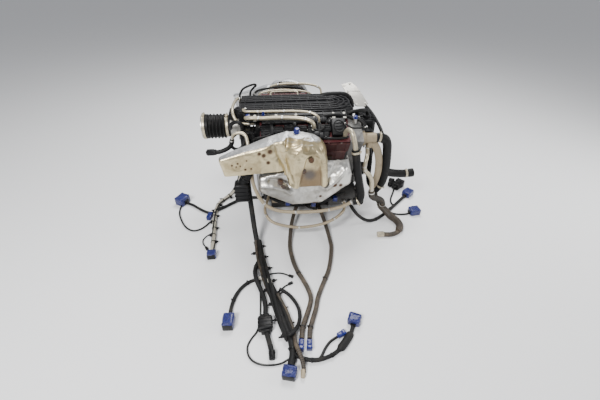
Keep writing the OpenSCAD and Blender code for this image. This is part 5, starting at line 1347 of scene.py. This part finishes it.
def make_cover_dress():
    """Raised rims and ribs on the cam covers, coil plugs with their leads, trays and boxes."""
    for name, side in (("near", -1), ("far", 1)):
        here = bank(side)
        shift = 0.009 * side
        bm = bmesh.new()
        for y in (-0.066, 0.066):
            add_block(bm, (-0.190, y - 0.0035, 0.3790), (0.200, y + 0.0035, 0.3835), 0.0015, here)
        for x in (-0.1905, 0.1955):
            add_block(bm, (x - 0.004, -0.066, 0.3790), (x + 0.004, 0.066, 0.3835), 0.0015, here)
        for k in range(4):
            x = -0.168 + 0.106 * k + shift
            add_block(bm, (x - 0.003, -0.062, 0.3790), (x + 0.003, 0.062, 0.3828), 0.0012, here)
        for y in (-0.0705, 0.0705):
            for k in range(10):
                x = -0.175 + 0.040 * k
                add_block(bm, (x - 0.002, y - 0.002, 0.310), (x + 0.002, y + 0.002, 0.376), 0.0008, here)
        piece(name + "_cover_ribs", bm, cover_red)
        bm = bmesh.new()
        for k in range(3):
            x = -0.106 + 0.106 * k + shift
            add_block(bm, (x - 0.0235, -0.0175, 0.3795), (x + 0.0235, 0.0175, 0.3985), 0.0035, here, 3)
            add_block(bm, (x - 0.0150, -0.034, 0.3800), (x + 0.0150, -0.014, 0.3940), 0.002, here)
            add_block(bm, (x - 0.0110, -0.042, 0.3820), (x + 0.0110, -0.032, 0.3925), 0.0015, here)
            for j in range(3):
                y = -0.010 + 0.010 * j
                add_block(bm, (x - 0.020, y - 0.0012, 0.3980), (x + 0.020, y + 0.0012, 0.4000), 0.0004, here)
        piece(name + "_coil_tops", bm, coil_black)
        bm = bmesh.new()
        for k in range(3):
            x = -0.106 + 0.106 * k + shift
            add_bolt(bm, here @ Vector((x + 0.029, 0.0, 0.380)), here.to_3x3() @ Vector((0, 0, 1)), 0.005, 0.006)
            add_bolt(bm, here @ Vector((x - 0.029, 0.0, 0.380)), here.to_3x3() @ Vector((0, 0, 1)), 0.005, 0.006)
        piece(name + "_coil_bolts", bm, steel_bright)
        bm = bmesh.new()
        trunk = [here @ Vector(p) for p in ((-0.196, -0.050, 0.384), (-0.170, -0.052, 0.389), (-0.100, -0.0515, 0.389),
                                            (0.000, -0.053, 0.389), (0.100, -0.0515, 0.389), (0.160, -0.054, 0.389),
                                            (0.196, -0.045, 0.386))]
        add_sweep(bm, even(trunk, 0.006), 0.0058, 12)
        for k in range(3):
            x = -0.106 + 0.106 * k + shift
            lead = [here @ Vector(p) for p in ((x - 0.022, -0.0515, 0.390), (x - 0.010, -0.052, 0.395),
                                               (x, -0.046, 0.393), (x, -0.040, 0.3885))]
            add_sweep(bm, even(lead, 0.003), 0.0034, 8)
        piece(name + "_coil_loom", bm, wire_dark)
    near = bank(-1)
    bm = bmesh.new()
    add_block(bm, (0.122, -0.044, 0.3795), (0.190, 0.046, 0.4060), 0.006, near, 3)
    add_block(bm, (0.110, 0.020, 0.3795), (0.130, 0.044, 0.3980), 0.003, near)
    ridge = [near @ Vector((0.156 + 0.022 * math.cos(a), 0.000 + 0.032 * math.sin(a), 0.4060))
             for a in (math.pi * k / 18 for k in range(37))]
    add_sweep(bm, evenly(ridge, 0.004), 0.0030, 10)
    for y in (-0.016, 0.0, 0.016):
        add_block(bm, (0.140, y - 0.0014, 0.4050), (0.172, y + 0.0014, 0.4085), 0.0006, near)
    piece("vacuum_box", bm, moulded_black)
    bm = bmesh.new()
    add_block(bm, (-0.185, 0.030, 0.3830), (0.108, 0.058, 0.4010), 0.004, near, 3)
    for k in range(9):
        x = -0.170 + 0.032 * k
        add_block(bm, (x, 0.0292, 0.3840), (x + 0.012, 0.0588, 0.4030), 0.0015, near)
    for x in (-0.150, -0.048, 0.060):
        add_block(bm, (x, -0.030, 0.3900), (x + 0.016, 0.034, 0.4030), 0.003, near)
    add_block(bm, (-0.189, -0.064, 0.3800), (-0.020, -0.024, 0.3930), 0.004, near, 3)
    for k in range(8):
        x = -0.180 + 0.020 * k
        add_block(bm, (x, -0.0655, 0.3810), (x + 0.005, -0.0225, 0.3950), 0.0012, near)
    for low, high in ((-0.191, -0.142), (-0.087, -0.037), (0.019, 0.069)):
        add_block(bm, (low, -0.022, 0.3795), (high, 0.030, 0.3930), 0.004, near, 3)
        for k in range(4):
            y = -0.018 + 0.012 * k
            add_block(bm, (low - 0.001, y, 0.3800), (high + 0.001, y + 0.004, 0.3950), 0.0012, near)
    add_block(bm, (0.024, -0.058, 0.3800), (0.086, -0.024, 0.4020), 0.006, near, 3)
    add_round(bm, near @ Vector((0.052, -0.041, 0.400)), near @ Vector((0.052, -0.041, 0.414)), 0.0140,
              segments=28, edge=0.003)
    piece("near_wiring_tray", bm, moulded_dusty)


def make_apron():
    """Ribbed lip that slopes from the plenum's near edge over the cover."""
    slope = Matrix.Translation((0.0, -0.100, 0.5475)) @ Matrix.Rotation(math.radians(24.0), 4, "X")
    bm = bmesh.new()
    add_block(bm, (-0.255, -0.058, -0.008), (0.205, 0.002, 0.000), 0.003, slope, 3)
    for y in (-0.052, -0.030, -0.008):
        add_block(bm, (-0.248, y - 0.0028, -0.001), (0.198, y + 0.0028, 0.0042), 0.0015, slope)
    for k in range(11):
        x = -0.240 + 0.042 * k
        add_block(bm, (x - 0.0018, -0.052, -0.001), (x + 0.0018, -0.008, 0.0032), 0.0006, slope)
    for k in range(12):
        x = -0.236 + 0.038 * k
        add_block(bm, (x - 0.0016, -0.0585, -0.014), (x + 0.0016, -0.054, 0.001), 0.0006, slope)
    piece("plenum_lip", bm, moulded_dusty)
    bm = bmesh.new()
    for x in (-0.215, -0.120, -0.030, 0.055, 0.140, 0.190):
        add_block(bm, (x - 0.007, -0.060, 0.0015), (x + 0.007, -0.044, 0.0065), 0.001, slope)
        add_round(bm, slope @ Vector((x, -0.030, 0.003)), slope @ Vector((x, -0.030, 0.0075)), 0.006,
                  segments=20, edge=0.0008)
    piece("plenum_lip_clips", bm, tag_white)
    bm = bmesh.new()
    add_block(bm, (-0.186, -0.0738, 0.240), (0.196, -0.0694, 0.3085), 0.002, bank(-1), 2)
    for x in (-0.15, -0.09, -0.03, 0.03, 0.09, 0.15, 0.185):
        add_block(bm, (x - 0.0025, -0.0752, 0.244), (x + 0.0025, -0.0720, 0.3075), 0.001, bank(-1))
    piece("near_cover_skirt", bm, cover_red)


UPPER_HOSES = (
    # name, radius, finish, points
    ("rear_cream_pipe", 0.0068, "cream", (
        (-0.292, 0.080, 0.540), (-0.300, 0.066, 0.554), (-0.309, 0.030, 0.557), (-0.316, -0.020, 0.556),
        (-0.318, -0.066, 0.552), (-0.314, -0.096, 0.538), (-0.302, -0.112, 0.516), (-0.280, -0.120, 0.503),
        (-0.250, -0.126, 0.503), (-0.220, -0.130, 0.506))),
    ("breather_loop", 0.0056, "rubber", (
        (-0.250, 0.290, 0.476), (-0.254, 0.272, 0.496), (-0.248, 0.258, 0.524), (-0.230, 0.252, 0.546),
        (-0.216, 0.250, 0.558), (-0.224, 0.250, 0.564), (-0.252, 0.250, 0.558), (-0.284, 0.249, 0.544),
        (-0.302, 0.246, 0.524), (-0.309, 0.236, 0.500), (-0.308, 0.200, 0.480), (-0.302, 0.150, 0.476),
        (-0.294, 0.094, 0.490))),
    ("nose_u_pipe", 0.0068, "cream", (
        (-0.244, -0.296, 0.470), (-0.246, -0.282, 0.492), (-0.252, -0.266, 0.510), (-0.268, -0.258, 0.520),
        (-0.290, -0.256, 0.519), (-0.306, -0.256, 0.508), (-0.311, -0.256, 0.488))),
    ("nose_black_hose", 0.0095, "rubber", (
        (-0.311, -0.256, 0.492), (-0.314, -0.257, 0.474), (-0.326, -0.259, 0.458), (-0.346, -0.261, 0.446),
        (-0.372, -0.262, 0.438), (-0.398, -0.262, 0.437))),
    ("thermostat_pipe", 0.0095, "cream", (
        (0.298, -0.200, 0.404), (0.298, -0.206, 0.390), (0.294, -0.226, 0.382), (0.286, -0.252, 0.384),
        (0.278, -0.272, 0.372), (0.272, -0.280, 0.352), (0.272, -0.282, 0.332))),
    ("thermostat_lower_pipe", 0.0105, "cream", (
        (0.272, -0.282, 0.336), (0.278, -0.283, 0.318), (0.298, -0.283, 0.298), (0.314, -0.282, 0.268),
        (0.321, -0.280, 0.232), (0.324, -0.278, 0.196))),
    ("lower_brown_hose", 0.0150, "brown", (
        (0.324, -0.278, 0.202), (0.327, -0.277, 0.178), (0.339, -0.272, 0.157), (0.362, -0.262, 0.141),
        (0.386, -0.248, 0.124), (0.404, -0.235, 0.102), (0.414, -0.224, 0.078), (0.418, -0.217, 0.056))),
    ("pump_black_hose", 0.0080, "rubber", (
        (0.060, -0.150, 0.520), (0.090, -0.146, 0.534), (0.140, -0.142, 0.538), (0.190, -0.142, 0.532),
        (0.226, -0.150, 0.524), (0.256, -0.166, 0.520), (0.276, -0.186, 0.506), (0.284, -0.200, 0.482))),
    ("vacuum_line_one", 0.0035, "rubber", (
        (0.130, -0.168, 0.528), (0.118, -0.176, 0.536), (0.104, -0.190, 0.530), (0.092, -0.206, 0.512),
        (0.076, -0.214, 0.500), (0.052, -0.212, 0.500), (0.036, -0.200, 0.508), (0.034, -0.184, 0.516))),
    ("vacuum_line_two", 0.0035, "rubber", (
        (0.176, -0.190, 0.522), (0.190, -0.214, 0.520), (0.210, -0.226, 0.510), (0.236, -0.222, 0.506),
        (0.262, -0.204, 0.500), (0.272, -0.184, 0.508), (0.262, -0.158, 0.522), (0.236, -0.140, 0.530))),
    ("far_edge_hose", 0.0058, "rubber", (
        (-0.236, 0.262, 0.496), (-0.228, 0.254, 0.514), (-0.211, 0.252, 0.528), (-0.166, 0.252, 0.539),
        (-0.110, 0.252, 0.546), (-0.050, 0.252, 0.546), (0.006, 0.252, 0.540), (0.044, 0.250, 0.526),
        (0.060, 0.248, 0.504), (0.064, 0.244, 0.462))),
    ("far_red_loop", 0.0050, "cream", (
        (-0.206, 0.232, 0.478), (-0.206, 0.226, 0.504), (-0.196, 0.222, 0.524), (-0.166, 0.221, 0.533),
        (-0.110, 0.221, 0.539), (-0.050, 0.221, 0.539), (0.004, 0.221, 0.534), (0.054, 0.220, 0.526),
        (0.082, 0.217, 0.510), (0.090, 0.212, 0.478))),
    ("far_rise_loop_one", 0.0035, "cream", (
        (-0.140, 0.128, 0.528), (-0.140, 0.130, 0.546), (-0.134, 0.142, 0.555), (-0.104, 0.146, 0.556),
        (-0.076, 0.146, 0.556), (-0.040, 0.146, 0.556), (-0.006, 0.142, 0.555), (0.000, 0.130, 0.546),
        (0.000, 0.128, 0.528))),
)


def make_upper_hoses():
    """Small pipes and hoses round the plenum, the turbo and the thermostat."""
    kinds = {"cream": (plated_cream, "plated_pipe"), "rubber": (rubber_black, "black_rubber"),
             "brown": (hose_brown, "loom_brown")}
    for name, radius, kind, points in UPPER_HOSES:
        finish, slot = kinds[kind]
        shape = ribbed(radius) if kind == "brown" else radius
        tube(name, points, shape, finish, 14, step=0.0016 if kind == "brown" else 0.005)
    bm = bmesh.new()
    for name, radius, kind, points in UPPER_HOSES:
        path = even(points, 0.004)
        for share in (0.06, 0.94):
            k = int(share * (len(path) - 2))
            add_spun(bm, [(radius - 0.0004, 0.0), (radius + 0.0012, 0.0003), (radius + 0.0012, 0.0052),
                          (radius - 0.0004, 0.0055)], path[k], path[k + 1] - path[k], 24, closed=True)
    piece("small_hose_bands", bm, steel_bright)
    bm = bmesh.new()
    add_block(bm, (-0.424, -0.273, 0.426), (-0.392, -0.251, 0.449), 0.003)
    add_block(bm, (-0.428, -0.270, 0.430), (-0.420, -0.254, 0.445), 0.002)
    add_round(bm, (-0.400, -0.262, 0.4375), (-0.384, -0.262, 0.4375), 0.0125, segments=24, edge=0.001)
    piece("nose_hose_plug", bm, moulded_black)


def make_caps():
    """Blue closing caps on open unions, and the plug on the near dome."""
    bm = bmesh.new()
    for at, ahead, radius, length in (((-0.041, -0.318, 0.540), (0.0, -0.25, 1.0), 0.0110, 0.022),
                                      ((-0.246, -0.122, 0.520), (0.0, -0.3, 1.0), 0.0115, 0.026),
                                      ((-0.176, -0.140, 0.545), (0.0, -0.2, 1.0), 0.0065, 0.022),
                                      ((0.236, -0.166, 0.528), (0.1, -0.2, 1.0), 0.0085, 0.014)):
        at, ahead = Vector(at), Vector(ahead).normalized()
        add_round(bm, at, at + ahead * length, radius, radius * 0.86, 24, 0.0016)
        add_round(bm, at + ahead * length * 0.1, at + ahead * length * 0.3, radius * 1.25,
                  segments=24, edge=0.0008)
    piece("closing_caps", bm, cap_blue)
    bm = bmesh.new()
    add_round(bm, (-0.246, -0.122, 0.494), (-0.246, -0.122, 0.524), 0.0095, segments=6, edge=0.0008)
    add_round(bm, (0.236, -0.166, 0.505), (0.236, -0.166, 0.530), 0.0095, segments=24, edge=0.0008)
    add_round(bm, (-0.176, -0.140, 0.536), (-0.176, -0.140, 0.547), 0.0055, segments=6, edge=0.0006)
    piece("cap_unions", bm, steel_bright)


def make_black_boxes():
    """Ducts, valve boxes and covers that fill the spaces at the ends of the engine."""
    bm = bmesh.new()
    add_block(bm, (-0.286, -0.186, 0.416), (-0.200, -0.114, 0.488), 0.008, None, 3)
    for k in range(5):
        x = -0.276 + 0.016 * k
        add_block(bm, (x, -0.1885, 0.424), (x + 0.005, -0.1115, 0.4915), 0.0015)
    for x in (-0.262, -0.226):
        add_round(bm, (x, -0.196, 0.470), (x, -0.150, 0.470), 0.0145, segments=28, edge=0.002)
        add_round(bm, (x, -0.208, 0.470), (x, -0.194, 0.470), 0.0095, segments=24, edge=0.001)
    add_block(bm, (-0.270, -0.204, 0.430), (-0.238, -0.180, 0.452), 0.003)
    add_block(bm, (-0.214, -0.190, 0.424), (-0.190, -0.112, 0.508), 0.004)
    piece("rear_valve_block", bm, moulded_black)
    for name, radius, points in (
            ("valve_hose_one", 0.0070, ((-0.262, -0.200, 0.470), (-0.263, -0.222, 0.466), (-0.270, -0.238, 0.452),
                                        (-0.286, -0.244, 0.440), (-0.306, -0.240, 0.438), (-0.322, -0.222, 0.442),
                                        (-0.328, -0.194, 0.448), (-0.324, -0.160, 0.452), (-0.312, -0.128, 0.452),
                                        (-0.302, -0.098, 0.450))),
            ("valve_hose_two", 0.0055, ((-0.226, -0.200, 0.470), (-0.226, -0.218, 0.472), (-0.220, -0.236, 0.480),
                                        (-0.206, -0.246, 0.488), (-0.186, -0.246, 0.490), (-0.164, -0.236, 0.490),
                                        (-0.150, -0.222, 0.490), (-0.140, -0.206, 0.496))),
            ("valve_hose_three", 0.0085, ((-0.270, -0.150, 0.484), (-0.274, -0.150, 0.504), (-0.284, -0.148, 0.518),
                                          (-0.302, -0.142, 0.520), (-0.320, -0.132, 0.508), (-0.330, -0.120, 0.488),
                                          (-0.334, -0.104, 0.474), (-0.334, -0.086, 0.468)))):
        tube(name, points, radius, rubber_black, 14, step=0.005)
    bm = bmesh.new()
    duct = even(((-0.252, -0.322, 0.384), (-0.256, -0.322, 0.356), (-0.268, -0.323, 0.336), (-0.280, -0.324, 0.318),
                 (-0.287, -0.326, 0.298), (-0.288, -0.326, 0.276)), 0.005)
    add_sweep(bm, duct, lambda d: 0.0215 + 0.0012 * math.sin(d * 2 * math.pi / 0.012), 28)
    add_block(bm, (-0.318, -0.352, 0.226), (-0.256, -0.300, 0.318), 0.008, None, 3)
    for k in range(4):
        z = 0.238 + 0.020 * k
        add_block(bm, (-0.3205, -0.3545, z), (-0.2535, -0.2980, z + 0.005), 0.0015)
    piece("near_outlet_duct", bm, moulded_black)
    bm = bmesh.new()
    add_block(bm, (0.286, -0.112, 0.392), (0.352, 0.044, 0.490), 0.016, None, 4)
    for k in range(7):
        y = -0.098 + 0.021 * k
        add_block(bm, (0.284, y, 0.398), (0.3555, y + 0.004, 0.4935), 0.0014)
    add_round(bm, (0.318, -0.070, 0.486), (0.318, -0.070, 0.506), 0.019, segments=32, edge=0.002)
    add_round(bm, (0.318, 0.010, 0.486), (0.318, 0.010, 0.502), 0.013, segments=28, edge=0.002)
    add_block(bm, (0.276, -0.160, 0.408), (0.330, -0.104, 0.462), 0.008, None, 3)
    piece("front_breather_box", bm, moulded_black)
    for name, radius, points in (
            ("guard_edge_hose", 0.0085, ((0.346, 0.094, 0.490), (0.360, 0.074, 0.482), (0.376, 0.032, 0.466),
                                         (0.390, -0.020, 0.444), (0.398, -0.070, 0.424), (0.396, -0.116, 0.408),
                                         (0.386, -0.152, 0.404), (0.372, -0.178, 0.414))),
            ("breather_hose", 0.0090, ((0.318, -0.070, 0.500), (0.318, -0.072, 0.518), (0.308, -0.082, 0.532),
                                       (0.288, -0.096, 0.538), (0.262, -0.106, 0.540), (0.234, -0.108, 0.536),
                                       (0.212, -0.104, 0.526))),
            ("front_drop_hose", 0.0120, ((0.306, -0.150, 0.420), (0.314, -0.150, 0.388), (0.328, -0.148, 0.350),
                                         (0.338, -0.148, 0.300), (0.340, -0.150, 0.250), (0.340, -0.156, 0.204),
                                         (0.346, -0.166, 0.172), (0.362, -0.176, 0.152), (0.378, -0.180, 0.146))),
            ("front_thin_hose", 0.0085, ((0.344, -0.090, 0.404), (0.350, -0.104, 0.380), (0.352, -0.116, 0.340),
                                         (0.348, -0.124, 0.290), (0.344, -0.126, 0.240), (0.346, -0.132, 0.198),
                                         (0.356, -0.148, 0.170), (0.372, -0.168, 0.156))),
            ("plenum_end_duct", 0.0130, ((0.108, 0.086, 0.536), (0.118, 0.084, 0.548), (0.142, 0.083, 0.554),
                                         (0.184, 0.082, 0.556), (0.226, 0.081, 0.554), (0.254, 0.078, 0.542),
                                         (0.268, 0.072, 0.520), (0.274, 0.064, 0.492)))):
        tube(name, points, radius, rubber_black, 18, step=0.005)
    for name, radius, points in (
            ("under_loom", 0.0100, ((-0.200, -0.168, 0.200), (-0.190, -0.200, 0.196), (-0.160, -0.236, 0.186),
                                    (-0.110, -0.262, 0.172), (-0.050, -0.274, 0.160), (0.010, -0.274, 0.152),
                                    (0.070, -0.266, 0.150), (0.130, -0.256, 0.158), (0.176, -0.244, 0.164),
                                    (0.204, -0.230, 0.160))),
            ("under_hose", 0.0085, ((-0.196, -0.150, 0.130), (-0.170, -0.190, 0.128), (-0.120, -0.222, 0.122),
                                    (-0.060, -0.236, 0.112), (0.000, -0.238, 0.106), (0.060, -0.232, 0.108),
                                    (0.110, -0.232, 0.122), (0.150, -0.236, 0.150))),
            ("under_branch", 0.0055, ((-0.020, -0.276, 0.156), (0.000, -0.290, 0.146), (0.026, -0.296, 0.132),
                                      (0.050, -0.288, 0.116), (0.062, -0.266, 0.104), (0.060, -0.240, 0.106)))):
        tube(name, points, radius, tape_black if name == "under_loom" else rubber_black, 14,
             step=0.005)
    bm = bmesh.new()
    for x, y, z in ((-0.084, -0.284, 0.160), (0.040, -0.288, 0.148), (0.150, -0.266, 0.156)):
        add_block(bm, (x - 0.011, y - 0.009, z - 0.012), (x + 0.011, y + 0.012, z + 0.012), 0.003)
    piece("under_clips", bm, cap_blue)
    far = bank(1)
    bm = bmesh.new()
    add_block(bm, (-0.192, -0.064, 0.3790), (0.050, -0.025, 0.4080), 0.006, far, 3)
    for k in range(9):
        x = -0.184 + 0.028 * k
        add_block(bm, (x, -0.0665, 0.3800), (x + 0.006, -0.023, 0.4100), 0.0015, far)
    piece("far_cover_rise", bm, cover_red)


def make_front_guard():
    """Cast guard standing on the front cover, the tan band beside it, and the cover's bosses."""
    outline = ((0.246, 0.228, 0.556), (0.294, 0.230, 0.566), (0.318, 0.200, 0.557), (0.346, 0.148, 0.523),
               (0.368, 0.100, 0.492), (0.352, 0.078, 0.488), (0.299, 0.060, 0.497), (0.272, 0.100, 0.517),
               (0.256, 0.150, 0.536))
    bm = bmesh.new()
    verts = [bm.verts.new(p) for p in outline]
    face = bm.faces.new(verts)
    grown = bmesh.ops.inset_region(bm, faces=[face], thickness=0.007, depth=0.0)
    bmesh.ops.inset_region(bm, faces=[face], thickness=0.003, depth=-0.003)
    bmesh.ops.triangulate(bm, faces=bm.faces[:])
    bmesh.ops.recalc_face_normals(bm, faces=bm.faces)
    bmesh.ops.solidify(bm, geom=bm.faces[:], thickness=0.004)
    for a, b in (((0.270, 0.200, 0.5520), (0.330, 0.100, 0.5020)), ((0.292, 0.206, 0.5570), (0.350, 0.110, 0.5040)),
                 ((0.262, 0.160, 0.5420), (0.336, 0.168, 0.5380)), ((0.276, 0.120, 0.5250), (0.348, 0.128, 0.5130))):
        add_sweep(bm, evenly([Vector(a), Vector(b)], 0.01), 0.0030, 10)
    for x, y, z in ((0.258, 0.212, 0.553), (0.290, 0.220, 0.561), (0.352, 0.098, 0.496), (0.300, 0.074, 0.499)):
        add_bolt(bm, (x, y, z), (-0.25, -0.35, 1.0), 0.006, 0.007)
    add_block(bm, (0.262, 0.150, 0.460), (0.272, 0.190, 0.545), 0.003)
    add_block(bm, (0.262, 0.066, 0.460), (0.284, 0.082, 0.508), 0.003)
    piece("front_guard", bm, cast_pale)
    bm = bmesh.new()
    band = even(((0.296, -0.207, 0.440), (0.318, -0.207, 0.426), (0.341, -0.207, 0.396), (0.358, -0.207, 0.350),
                 (0.366, -0.207, 0.300), (0.367, -0.207, 0.250), (0.360, -0.207, 0.206), (0.348, -0.207, 0.172)),
                0.006)
    add_sweep(bm, band, 0.018, 24)
    for vert in bm.verts:
        vert.co.y = -0.207 + (vert.co.y + 0.207) * 0.28
    piece("front_band", bm, cast_tan)
    bm = bmesh.new()
    for x, y, z in ((0.283, -0.060, 0.440), (0.283, 0.060, 0.440), (0.283, -0.120, 0.300), (0.283, 0.120, 0.360),
                    (0.283, -0.150, 0.420), (0.283, 0.150, 0.440), (0.283, 0.0, 0.430)):
        add_bolt(bm, (x - 0.001, y, z), (1.0, 0.0, 0.0), 0.006, 0.007)
    for x, y, z in ((0.283, -0.100, 0.200), (0.283, 0.100, 0.240), (0.283, -0.085, 0.130), (0.283, 0.090, 0.130),
                    (0.283, -0.190, 0.400), (0.283, 0.200, 0.410), (0.283, 0.105, 0.300)):
        add_bolt(bm, (x - 0.001, y, z), (1.0, 0.0, 0.0), 0.0055, 0.006)
    piece("front_cover_bolts", bm, steel_bright)
    bm = bmesh.new()
    for a, b in (((-0.080, 0.400), (-0.170, 0.448)), ((0.080, 0.400), (0.170, 0.448)),
                 ((0.075, 0.385), (0.125, 0.300)), ((-0.090, 0.395), (-0.115, 0.360)),
                 ((0.090, 0.310), (0.098, 0.180)), ((0.170, 0.440), (0.215, 0.400)),
                 ((-0.095, 0.180), (-0.090, 0.130)), ((0.130, 0.340), (0.190, 0.430))):
        add_sweep(bm, evenly([Vector((0.2815, *a)), Vector((0.2815, *b))], 0.012), 0.0042, 10)
    for y, z, radius in ((0.150, 0.385, 0.030), (-0.135, 0.415, 0.022), (0.112, 0.345, 0.016)):
        add_spun(bm, [(radius, 0.0), (radius, 0.0045), (radius - 0.005, 0.0045), (radius - 0.005, 0.0)],
                 (0.2805, y, z), (1.0, 0.0, 0.0), 40, closed=True)
    piece("front_cover_ribs", bm, cast_grey)
    bm = bmesh.new()
    for k in range(20):
        a = 2 * math.pi * k / 20
        middle = Vector((0.0, 0.190 + 0.0545 * math.cos(a), 0.2025 + 0.0545 * math.sin(a)))
        here = Matrix.Translation(middle) @ Matrix.Rotation(a, 4, "X")
        add_block(bm, (0.160, -0.0025, -0.0030), (0.238, 0.0035, 0.0030), 0.001, here)
    piece("alternator_fins", bm, cast_grey)
    bm = bmesh.new()
    for side in (-1, 1):
        for k in range(7):
            x = -0.165 + 0.055 * k
            add_block(bm, (x - 0.0025, side * 0.1180 - 0.0035, 0.016), (x + 0.0025, side * 0.1180 + 0.0035, 0.086),
                      0.001)
        for k in range(9):
            x = -0.160 + 0.040 * k
            add_bolt(bm, (x, side * 0.1165, 0.094), (0.0, side, 0.0), 0.0045, 0.006)
    piece("pan_ribs", bm, cast_dark)


# --- Order of making: camera, cords, then the engine's own pieces ---
place_camera()
make_studio()
make_cords()
make_leads()
make_shields()
make_plenum_dress()
make_bellows()
make_pipes()
make_cover_dress()
make_apron()
make_upper_hoses()
make_caps()
make_front_guard()
make_black_boxes()

NODE_FINISHES = {
    iron_dark: ("engine_block",),
    cast_dark: ("oil_pan", "near_cylinder_head", "far_cylinder_head", "water_pump", "ac_compressor",
                "tensioner_arm"),
    cast_grey: ("near_compressor_housing", "far_compressor_housing", "alternator", "front_cover"),
    cast_pale: ("throttle_body",),
    cover_red: ("near_cam_cover", "far_cam_cover"),
    steel_turned: ("pistons", "crankshaft", "flywheel", "near_intake_camshaft",
                   "near_exhaust_camshaft", "far_intake_camshaft", "far_exhaust_camshaft",
                   "timing_chains", "near_turbo_rotor", "far_turbo_rotor"),
    pulley_dark: ("crank_pulley", "water_pump_pulley", "alternator_rotor", "ac_pulley"),
    moulded_black: ("intake_manifold", "tensioner_pulley", "oil_filler_cap"),
    moulded_dusty: ("intake_plenum",),
    coil_black: ("ignition_coils",),
    brass_pale: ("throttle_plate",),
    belt_rubber: ("drive_belt",),
    steel_bright: ("cover_bolts",),
    iron_scorched: ("near_exhaust_manifold", "far_exhaust_manifold", "near_turbine_housing",
                    "far_turbine_housing"),
    cast_tan: ("thermostat_housing", "oil_filter"),
}
for finish, nodes in NODE_FINISHES.items():
    for node in nodes:
        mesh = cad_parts[node].data
        mesh.materials.clear()
        mesh.materials.append(finish)
